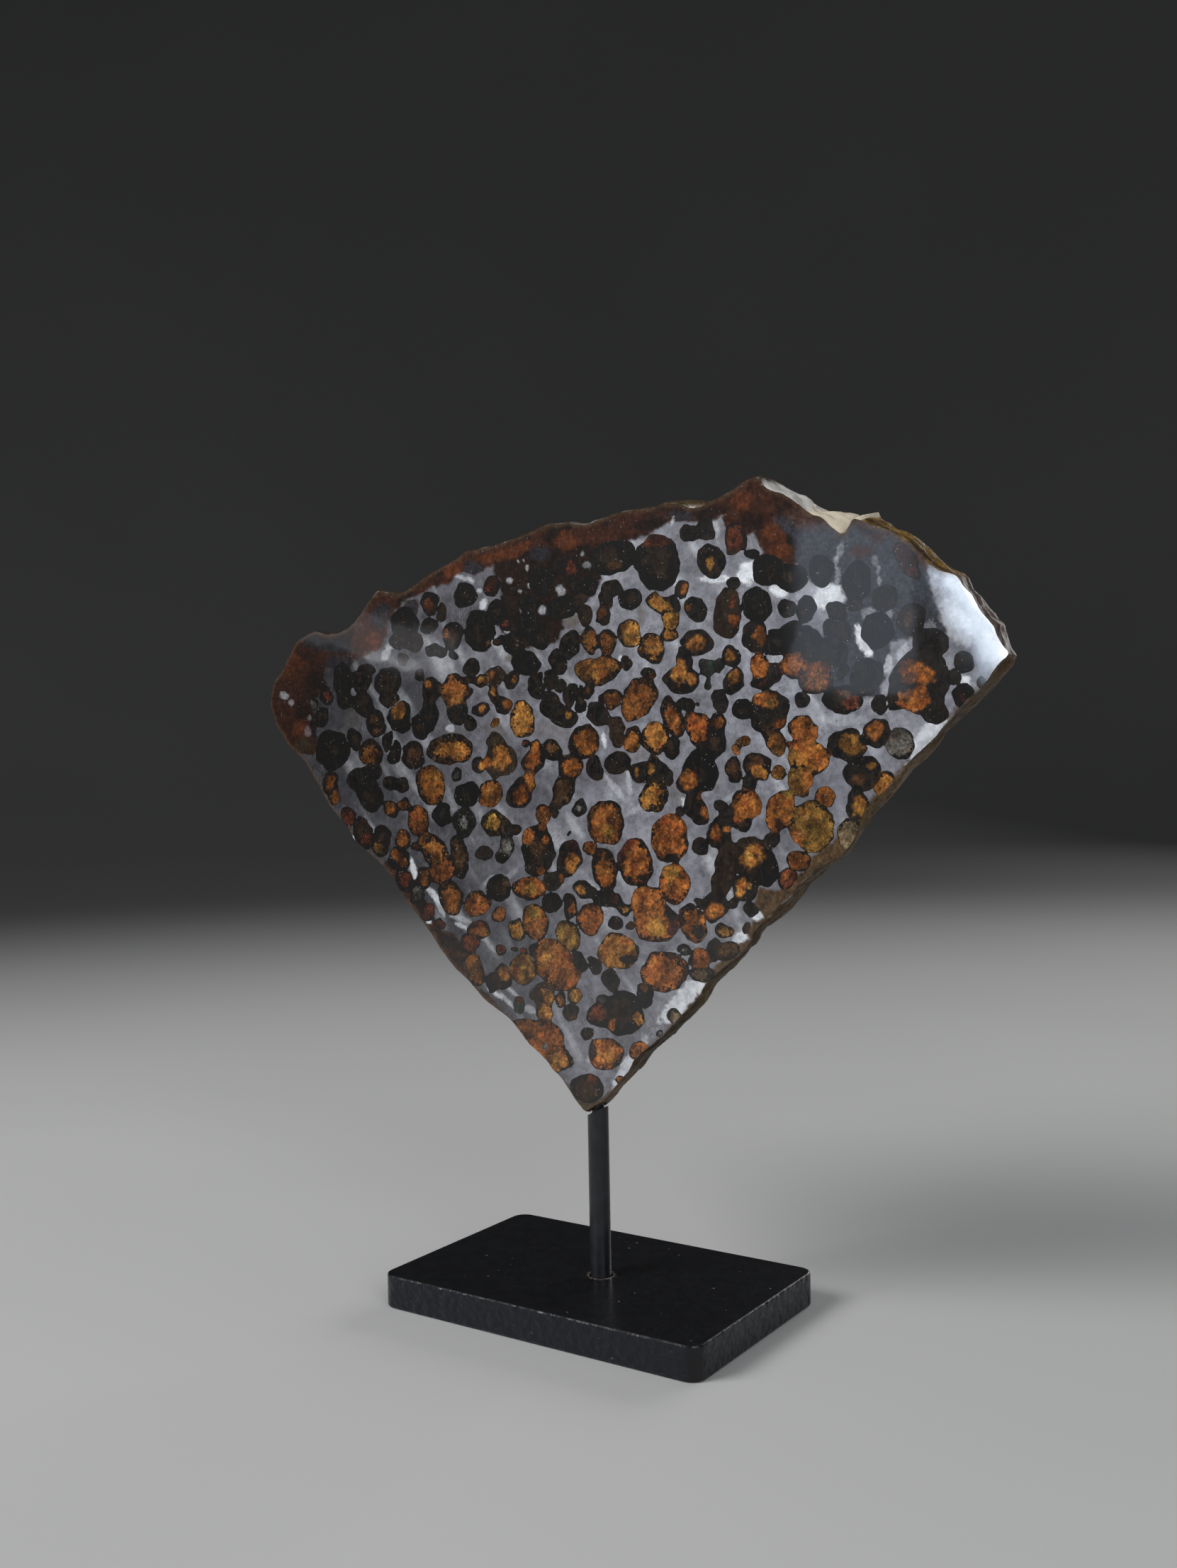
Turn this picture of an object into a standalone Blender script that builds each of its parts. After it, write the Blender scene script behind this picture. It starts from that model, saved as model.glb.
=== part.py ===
"""Polished pallasite meteorite slice on a black rod and a black base plate.

Units are metres and +Z is up. The origin is the centre of the base plate's
underside. +X runs along the plate's long side and the slice's width, and the
slice's polished front faces -Y.

The slice is one solid: a flat slab with an irregular natural rim. The rod
stands in a blind hole in the plate, and its thin top pin goes up into a blind
hole in the slice's lowest edge.
"""

import math

import bmesh
import bpy
from mathutils import Matrix, Vector, noise

MM = 0.001

# Driving sizes
SLICE_WIDTH = 163.4 * MM
SLICE_THICKNESS = 5.5 * MM
ROD_DIAMETER = 4.0 * MM
BASE_WIDTH = 70.0 * MM
BASE_DEPTH = 45.0 * MM
BASE_THICKNESS = 6.2 * MM
BASE_CORNER_RADIUS = 3.0 * MM
BASE_EDGE_ROUND = 0.35 * MM

# The rod stands a little off the plate's centre
ROD_X = 1.6 * MM
ROD_Y = -1.2 * MM
ROD_SINK = 4.0 * MM

# The rod's top is cut on the slope of the slice's lowest edge, and a pin rises from it
SHOULDER_HEIGHT = 37.5 * MM
SHOULDER_SLOPE = math.radians(28.0)
PIN_DIAMETER = 2.4 * MM
PIN_TOP = 45.5 * MM
CLEARANCE = 0.3 * MM

# The rim's natural surface
RIM_STEP = 2.3 * MM
RIM_LEVELS = (0.0, 0.06, 0.18, 0.36, 0.56, 0.76, 0.93, 1.0)
RIM_BULGE = 0.30 * MM
RIM_LUMPS = 0.38 * MM
RIM_LUMP_SIZE = 3.2 * MM
NOISE_SEED = Vector((3.1, 7.7, 1.9))

# The photograph's viewpoint in this frame, worked out from the plate's edges
PHOTO_CENTRE = (830.5, 1106.0)
PHOTO_FOCAL = 2100.0
EYE = Vector((159.2, -234.3, 103.9)) * MM
EYE_AZIMUTH = math.radians(34.2)
EYE_PITCH = math.radians(0.9)
EYE_ROLL = math.radians(1.05)

# The front face's rim, read by eye in photograph pixels, clockwise from the left tip
FRONT_RIM = (
    # Top edge, from the left tip to the peak
    (383, 993), (384, 975), (389, 961), (398, 949), (404, 935), (412, 920), (419, 907), (429, 900),
    (445, 892), (463, 896), (481, 893), (490, 888), (499, 880), (508, 869), (517, 856), (526, 843),
    (534, 836), (556, 839), (566, 838), (579, 831), (607, 811), (635, 795), (646, 788), (659, 779),
    (673, 777), (691, 772), (710, 767), (741, 755), (768, 743), (785, 741), (803, 739), (821, 742),
    (839, 737), (866, 726), (886, 722), (906, 720), (923, 716), (936, 712), (949, 712), (963, 714),
    (973, 717), (984, 717), (994, 714), (1007, 707), (1031, 694), (1042, 686), (1055, 678), (1069, 675),
    # Right of the peak, round the chipped notch and down to the right tip
    (1079, 687), (1091, 694), (1102, 697), (1114, 703), (1133, 718), (1144, 726), (1159, 731),
    (1170, 742), (1180, 750), (1190, 755), (1196, 746), (1203, 733), (1223, 739), (1240, 746),
    (1256, 751), (1278, 764), (1291, 776), (1301, 788), (1313, 798), (1326, 806), (1349, 814),
    (1359, 828), (1371, 841), (1379, 856), (1391, 872), (1401, 884), (1407, 899), (1414, 911),
    (1422, 923),
    # Lower right edge, from the right tip to the bottom tip
    (1409, 937), (1392, 961), (1379, 975), (1367, 985), (1347, 1007), (1332, 1024), (1317, 1042),
    (1303, 1055), (1282, 1075), (1263, 1098), (1247, 1116), (1230, 1132), (1219, 1146), (1213, 1162),
    (1206, 1182), (1199, 1193), (1185, 1208), (1167, 1218), (1152, 1226), (1139, 1238), (1127, 1249),
    (1114, 1266), (1101, 1276), (1088, 1290), (1064, 1315), (1056, 1333), (1039, 1350), (1026, 1361),
    (1011, 1374), (996, 1388), (988, 1403), (978, 1416), (960, 1434), (946, 1449), (935, 1461),
    (917, 1477), (898, 1491), (888, 1509), (876, 1523), (861, 1543), (851, 1554), (839, 1560),
    (827, 1567),
    # Lower left edge, from the bottom tip back to the left tip
    (815, 1555), (800, 1532), (790, 1518), (780, 1508), (769, 1493), (757, 1482), (746, 1471),
    (727, 1446), (718, 1436), (706, 1427), (693, 1417), (680, 1405), (662, 1384), (647, 1370),
    (635, 1356), (624, 1341), (606, 1313), (597, 1301), (587, 1287), (577, 1275), (568, 1263),
    (561, 1249), (554, 1237), (541, 1222), (528, 1210), (508, 1192), (498, 1181), (491, 1167),
    (478, 1152), (468, 1139), (458, 1123), (450, 1108), (433, 1078), (423, 1066), (410, 1055),
    (400, 1038), (391, 1023), (386, 1010),
)

# Stretches of the back face's rim that show behind the front one, in photograph pixels
BACK_RIM = (
    ((1069, 674), (1079, 676), (1091, 679), (1102, 686), (1114, 691), (1125, 697), (1137, 703),
     (1145, 709), (1152, 714), (1166, 720), (1177, 724), (1194, 725), (1206, 726), (1222, 728),
     (1238, 734), (1255, 741), (1271, 750), (1288, 758), (1301, 768), (1318, 781), (1329, 791),
     (1339, 800), (1359, 810), (1367, 826), (1381, 843), (1394, 857), (1406, 869), (1415, 882),
     (1422, 902), (1429, 919), (1433, 928), (1432, 936), (1427, 943), (1416, 955), (1405, 967),
     (1396, 978), (1384, 989), (1372, 1002), (1356, 1014), (1346, 1024), (1335, 1034), (1327, 1048),
     (1319, 1058), (1309, 1070), (1299, 1079), (1288, 1086), (1277, 1101), (1256, 1125), (1248, 1132),
     (1237, 1142), (1225, 1155), (1216, 1170), (1208, 1188), (1202, 1196), (1185, 1211), (1168, 1226),
     (1155, 1238), (1137, 1257), (1120, 1280), (1101, 1293), (1079, 1311), (1066, 1328), (1052, 1348),
     (1034, 1365), (1021, 1380), (1008, 1393), (996, 1411), (983, 1428), (968, 1442), (951, 1456),
     (935, 1471), (920, 1487), (905, 1505), (898, 1511), (888, 1522), (877, 1534), (868, 1547),
     (861, 1554), (851, 1560), (839, 1563)),
)
BACK_RIM_BLEND = math.radians(2.5)

# Knobs of crust just behind the front rim: photograph pixel, height and half width
KNOBS = (
    ((454, 893), 1.3 * MM, 5.0 * MM),
    ((546, 837), 1.0 * MM, 5.0 * MM),
    ((975, 717), 1.2 * MM, 4.5 * MM),
    ((1232, 1131), 0.9 * MM, 5.0 * MM),
)
KNOB_LEVEL = 0.3

MATERIALS = {
    "pallasite": ((0.33, 0.30, 0.28), 0.30, 0.60),
    "satin_black": ((0.012, 0.012, 0.014), 0.38, 0.0),
}


def clear_scene():
    for old in list(bpy.data.objects):
        bpy.data.objects.remove(old, do_unlink=True)


def make_material(name):
    colour, roughness, metallic = MATERIALS[name]
    material = bpy.data.materials.new(name)
    material.use_nodes = True
    shader = material.node_tree.nodes["Principled BSDF"]
    shader.inputs["Base Color"].default_value = (*colour, 1.0)
    shader.inputs["Roughness"].default_value = roughness
    shader.inputs["Metallic"].default_value = metallic
    return material


def make_object(name, bm, material=None):
    """Turn a bmesh into a named object, outward-facing and shaded smooth but for sharp edges."""
    bmesh.ops.recalc_face_normals(bm, faces=bm.faces)
    mesh = bpy.data.meshes.new(name)
    bm.to_mesh(mesh)
    bm.free()
    mesh.shade_smooth()
    mesh.set_sharp_from_angle(angle=math.radians(35.0))
    thing = bpy.data.objects.new(name, mesh)
    bpy.context.collection.objects.link(thing)
    if material is not None:
        mesh.materials.append(material)
    return thing


def make_cylinder(radius, low, high, segments=32):
    """A round bar along Z at the rod's place, from low to high."""
    bm = bmesh.new()
    middle = Matrix.Translation((ROD_X, ROD_Y, 0.5 * (low + high)))
    bmesh.ops.create_cone(bm, cap_ends=True, segments=segments, radius1=radius, radius2=radius,
                          depth=high - low, matrix=middle)
    return bm


def combine(thing, tool_bm, name, operation):
    """Cut the tool from a thing, or join it on, with the tool kept as a hidden guide."""
    tool = make_object(name, tool_bm)
    tool.display_type = "WIRE"
    tool.hide_render = True
    modifier = thing.modifiers.new(name, "BOOLEAN")
    modifier.operation = operation
    modifier.solver = "EXACT"
    modifier.object = tool


def eye_rays():
    """The photograph's axes in this frame: rightwards, downwards and forwards."""
    forward_level = Vector((-math.sin(EYE_AZIMUTH), math.cos(EYE_AZIMUTH), 0.0))
    right_level = Vector((math.cos(EYE_AZIMUTH), math.sin(EYE_AZIMUTH), 0.0))
    up = Vector((0.0, 0.0, 1.0))
    forward = forward_level * math.cos(EYE_PITCH) - up * math.sin(EYE_PITCH)
    down_level = -(up * math.cos(EYE_PITCH) + forward_level * math.sin(EYE_PITCH))
    right = right_level * math.cos(EYE_ROLL) + down_level * math.sin(EYE_ROLL)
    down = down_level * math.cos(EYE_ROLL) - right_level * math.sin(EYE_ROLL)
    return right, down, forward


def on_plane(pixel, plane_y):
    """Where a photograph pixel meets the upright plane at this y, as (x, z)."""
    right, down, forward = eye_rays()
    across = (pixel[0] - PHOTO_CENTRE[0]) / PHOTO_FOCAL
    below = (pixel[1] - PHOTO_CENTRE[1]) / PHOTO_FOCAL
    ray = right * across + down * below + forward
    hit = EYE + ray * ((plane_y - EYE.y) / ray.y)
    return hit.x, hit.z


def slice_outlines():
    """The front and back rims as matched lists of (x, z), plus the slice's middle."""
    front_y = ROD_Y - SLICE_THICKNESS / 2
    back_y = ROD_Y + SLICE_THICKNESS / 2
    front = [on_plane(pixel, front_y) for pixel in FRONT_RIM]
    read_width = max(x for x, z in front) - min(x for x, z in front)
    scale = SLICE_WIDTH / read_width

    def sized(point):
        return (ROD_X + (point[0] - ROD_X) * scale, point[1] * scale)

    front = [sized(point) for point in front]
    middle = (sum(x for x, z in front) / len(front), sum(z for x, z in front) / len(front))
    front = refine(front)
    angles = [angle_of(point, middle) for point in front]
    radii = [math.dist(point, middle) for point in front]

    # How far the back rim stands out past the front one, known only where it shows
    known = []
    for stretch in BACK_RIM:
        points = [sized(on_plane(pixel, back_y)) for pixel in stretch]
        seen = sorted((angle_of(p, middle), math.dist(p, middle)) for p in points)
        known.append((seen[0][0] - BACK_RIM_BLEND, 0.0))
        known += [(a, r - interpolate(a, angles, radii)) for a, r in seen]
        known.append((seen[-1][0] + BACK_RIM_BLEND, 0.0))
    known.sort()
    known_angles = [a for a, step in known]
    known_steps = [step for a, step in known]
    back = []
    for angle, radius in zip(angles, radii):
        reach = radius + interpolate(angle, known_angles, known_steps)
        back.append((middle[0] + reach * math.cos(angle), middle[1] + reach * math.sin(angle)))
    return front, back, middle


def angle_of(point, middle):
    return math.atan2(point[1] - middle[1], point[0] - middle[0])


def interpolate(angle, angles, values):
    """Linear interpolation round a full turn."""
    turn = 2.0 * math.pi
    table = sorted(zip(angles, values))
    table = [(table[-1][0] - turn, table[-1][1])] + table + [(table[0][0] + turn, table[0][1])]
    for (a0, v0), (a1, v1) in zip(table, table[1:]):
        if a0 <= angle <= a1:
            share = (angle - a0) / (a1 - a0) if a1 > a0 else 0.0
            return v0 + share * (v1 - v0)
    return values[0]


def refine(loop):
    """Run a smooth closed curve through the points, with no step longer than about RIM_STEP."""
    fine = []
    count = len(loop)
    for i in range(count):
        before, start, end, after = (Vector(loop[(i + k) % count]) for k in (-1, 0, 1, 2))
        pieces = max(1, math.ceil((end - start).length / RIM_STEP))
        for piece in range(pieces):
            t = piece / pieces
            bend = (end - before) * t + (2.0 * before - 5.0 * start + 4.0 * end - after) * t ** 2
            bend += (3.0 * start - before - 3.0 * end + after) * t ** 3
            fine.append(tuple(start + 0.5 * bend))
    return fine


def rim_offset(x, y, z, level, knobs):
    """How far the natural rim stands out at a point: a soft bulge with lumps, ledges and pits."""
    inside = 4.0 * level * (1.0 - level)
    place = Vector((x, y * 1.6, z)) / RIM_LUMP_SIZE + NOISE_SEED
    lump = noise.noise(place) + 0.5 * noise.noise(place * 2.3)
    ledge = 0.6 * math.copysign(min(abs(lump) * 1.8, 1.0), lump)
    knob = 0.0
    for (knob_x, knob_z), height, half_width in knobs:
        away = math.hypot(x - knob_x, z - knob_z) / half_width
        knob += height * math.exp(-2.0 * away ** 2 - 4.0 * (level - KNOB_LEVEL) ** 2)
    return math.sqrt(inside) * (RIM_BULGE + RIM_LUMPS * (lump + ledge) + knob)


def make_slice():
    """One slab with flat faces, its rim built in rows from the front face to the back one."""
    front, back, middle = slice_outlines()
    front_y = ROD_Y - SLICE_THICKNESS / 2
    knobs = [(on_plane(pixel, front_y), height, half_width) for pixel, height, half_width in KNOBS]
    bm = bmesh.new()
    rows = []
    for level in RIM_LEVELS:
        y = ROD_Y + (level - 0.5) * SLICE_THICKNESS
        row = []
        for (fx, fz), (bx, bz) in zip(front, back):
            x = fx + level * (bx - fx)
            z = fz + level * (bz - fz)
            outward = Vector((x - middle[0], z - middle[1])).normalized()
            step = rim_offset(x, y, z, level, knobs)
            row.append(bm.verts.new((x + outward.x * step, y, z + outward.y * step)))
        rows.append(row)
    count = len(front)
    for upper, lower in zip(rows, rows[1:]):
        for i in range(count):
            j = (i + 1) % count
            bm.faces.new((upper[i], upper[j], lower[j], lower[i]))
    bm.faces.new(rows[0])
    bm.faces.new(rows[-1])
    bmesh.ops.triangulate(bm, faces=bm.faces, quad_method="BEAUTY", ngon_method="BEAUTY")
    slab = make_object("meteorite_slice", bm, make_material("pallasite"))
    hole = make_cylinder(PIN_DIAMETER / 2 + CLEARANCE, SHOULDER_HEIGHT - 6 * MM, PIN_TOP + CLEARANCE, 24)
    combine(slab, hole, "pin_hole_guide", "DIFFERENCE")


def make_rod(material):
    """A round bar with its top cut on a slope, and a thinner pin rising from the cut."""
    foot = BASE_THICKNESS - ROD_SINK + CLEARANCE
    bm = make_cylinder(ROD_DIAMETER / 2, foot, SHOULDER_HEIGHT + ROD_DIAMETER)
    cut_at = Vector((ROD_X, ROD_Y, SHOULDER_HEIGHT))
    cut_normal = Vector((-math.sin(SHOULDER_SLOPE), 0.0, math.cos(SHOULDER_SLOPE)))
    everything = list(bm.verts) + list(bm.edges) + list(bm.faces)
    cut = bmesh.ops.bisect_plane(bm, geom=everything, plane_co=cut_at, plane_no=cut_normal, clear_outer=True)
    rim_edges = [item for item in cut["geom_cut"] if isinstance(item, bmesh.types.BMEdge)]
    bmesh.ops.contextual_create(bm, geom=rim_edges)
    rod = make_object("rod", bm, material)
    pin = make_cylinder(PIN_DIAMETER / 2, SHOULDER_HEIGHT - 6 * MM, PIN_TOP, 24)
    combine(rod, pin, "pin_guide", "UNION")


def make_base(material):
    """A thick plate with rounded upright corners and softened edges, drilled for the rod."""
    bm = bmesh.new()
    bmesh.ops.create_cube(bm, size=1.0)
    bmesh.ops.scale(bm, vec=(BASE_WIDTH, BASE_DEPTH, BASE_THICKNESS), verts=bm.verts)
    bmesh.ops.translate(bm, vec=(0.0, 0.0, BASE_THICKNESS / 2), verts=bm.verts)
    upright = [edge for edge in bm.edges if abs(edge.verts[0].co.z - edge.verts[1].co.z) > MM]
    bmesh.ops.bevel(bm, geom=upright, offset=BASE_CORNER_RADIUS, segments=8, profile=0.5,
                    affect="EDGES")
    rims = [edge for edge in bm.edges if abs(edge.verts[0].co.z - edge.verts[1].co.z) < 0.1 * MM]
    bmesh.ops.bevel(bm, geom=rims, offset=BASE_EDGE_ROUND, segments=2, profile=0.5, affect="EDGES")
    plate = make_object("base_plate", bm, material)
    hole = make_cylinder(ROD_DIAMETER / 2 + CLEARANCE, BASE_THICKNESS - ROD_SINK, BASE_THICKNESS + 2 * MM)
    combine(plate, hole, "rod_hole_guide", "DIFFERENCE")


def main():
    clear_scene()
    black = make_material("satin_black")
    make_slice()
    make_rod(black)
    make_base(black)


main()
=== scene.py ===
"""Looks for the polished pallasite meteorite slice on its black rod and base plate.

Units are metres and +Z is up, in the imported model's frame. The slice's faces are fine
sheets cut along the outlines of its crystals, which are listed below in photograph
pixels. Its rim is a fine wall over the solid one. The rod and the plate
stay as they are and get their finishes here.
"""

import math

import bpy
import numpy as np
from mathutils import Matrix, Vector
from mathutils.bvhtree import BVHTree
from mathutils.kdtree import KDTree


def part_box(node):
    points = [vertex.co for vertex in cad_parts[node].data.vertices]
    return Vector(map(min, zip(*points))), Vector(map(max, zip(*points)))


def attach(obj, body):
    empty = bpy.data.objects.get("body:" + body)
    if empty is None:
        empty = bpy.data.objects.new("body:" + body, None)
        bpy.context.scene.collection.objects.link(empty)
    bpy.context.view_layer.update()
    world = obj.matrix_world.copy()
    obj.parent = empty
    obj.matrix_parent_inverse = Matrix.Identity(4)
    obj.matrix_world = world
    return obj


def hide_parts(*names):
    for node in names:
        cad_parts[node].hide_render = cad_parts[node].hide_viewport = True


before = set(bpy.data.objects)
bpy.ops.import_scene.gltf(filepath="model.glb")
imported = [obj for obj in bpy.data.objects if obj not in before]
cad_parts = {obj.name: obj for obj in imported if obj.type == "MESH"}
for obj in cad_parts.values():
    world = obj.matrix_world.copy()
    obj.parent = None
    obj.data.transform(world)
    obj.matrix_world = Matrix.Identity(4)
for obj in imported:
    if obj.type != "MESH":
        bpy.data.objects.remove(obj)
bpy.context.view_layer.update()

MM = 0.001

# The photograph's viewpoint, in its own pixels and in this frame, and about a pixel's size on the slice
PHOTO_SIZE = (1661, 2212)
PHOTO_CENTRE = (830.5, 1106.0)
PHOTO_FOCAL = 2100.0
EYE = Vector((159.2, -234.3, 103.9)) * MM
EYE_AZIMUTH = math.radians(34.2)
EYE_PITCH = math.radians(0.9)
EYE_ROLL = math.radians(1.05)
PIXEL = 0.156 * MM

# How fine the surfaces are: the steps of the sheets and of their outline, the rim's rows as shares of the
# slice's thickness, and how near to a cut, as a share of a side, a sheet's point moves onto it
FRONT_STEP = 0.34 * MM
BACK_STEP = 0.46 * MM
OUTLINE_STEP = 0.36 * MM
RIM_LEVELS = (0.02, 0.05, 0.1, 0.16, 0.22, 0.28, 0.34, 0.4, 0.46, 0.52, 0.58, 0.64, 0.7, 0.76, 0.82, 0.88,
              0.93, 0.97, 0.985)
SNAP = 0.34

# The least colour that is painted, and the colours of the crystals and of their stained patches
DARKEST = 0.004
COLOURS = {
    "K": (0.0085, 0.0075, 0.0065),
    "D": (0.022, 0.013, 0.0075),
    "B": (0.055, 0.026, 0.010),
    "R": (0.085, 0.021, 0.008),
    "M": (0.032, 0.011, 0.009),
    "O": (0.205, 0.066, 0.013),
    "A": (0.250, 0.098, 0.020),
    "Y": (0.220, 0.102, 0.019),
    "G": (0.105, 0.100, 0.088),
    "F": (0.014, 0.022, 0.018),
    "T": (0.125, 0.083, 0.046),
}

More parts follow.
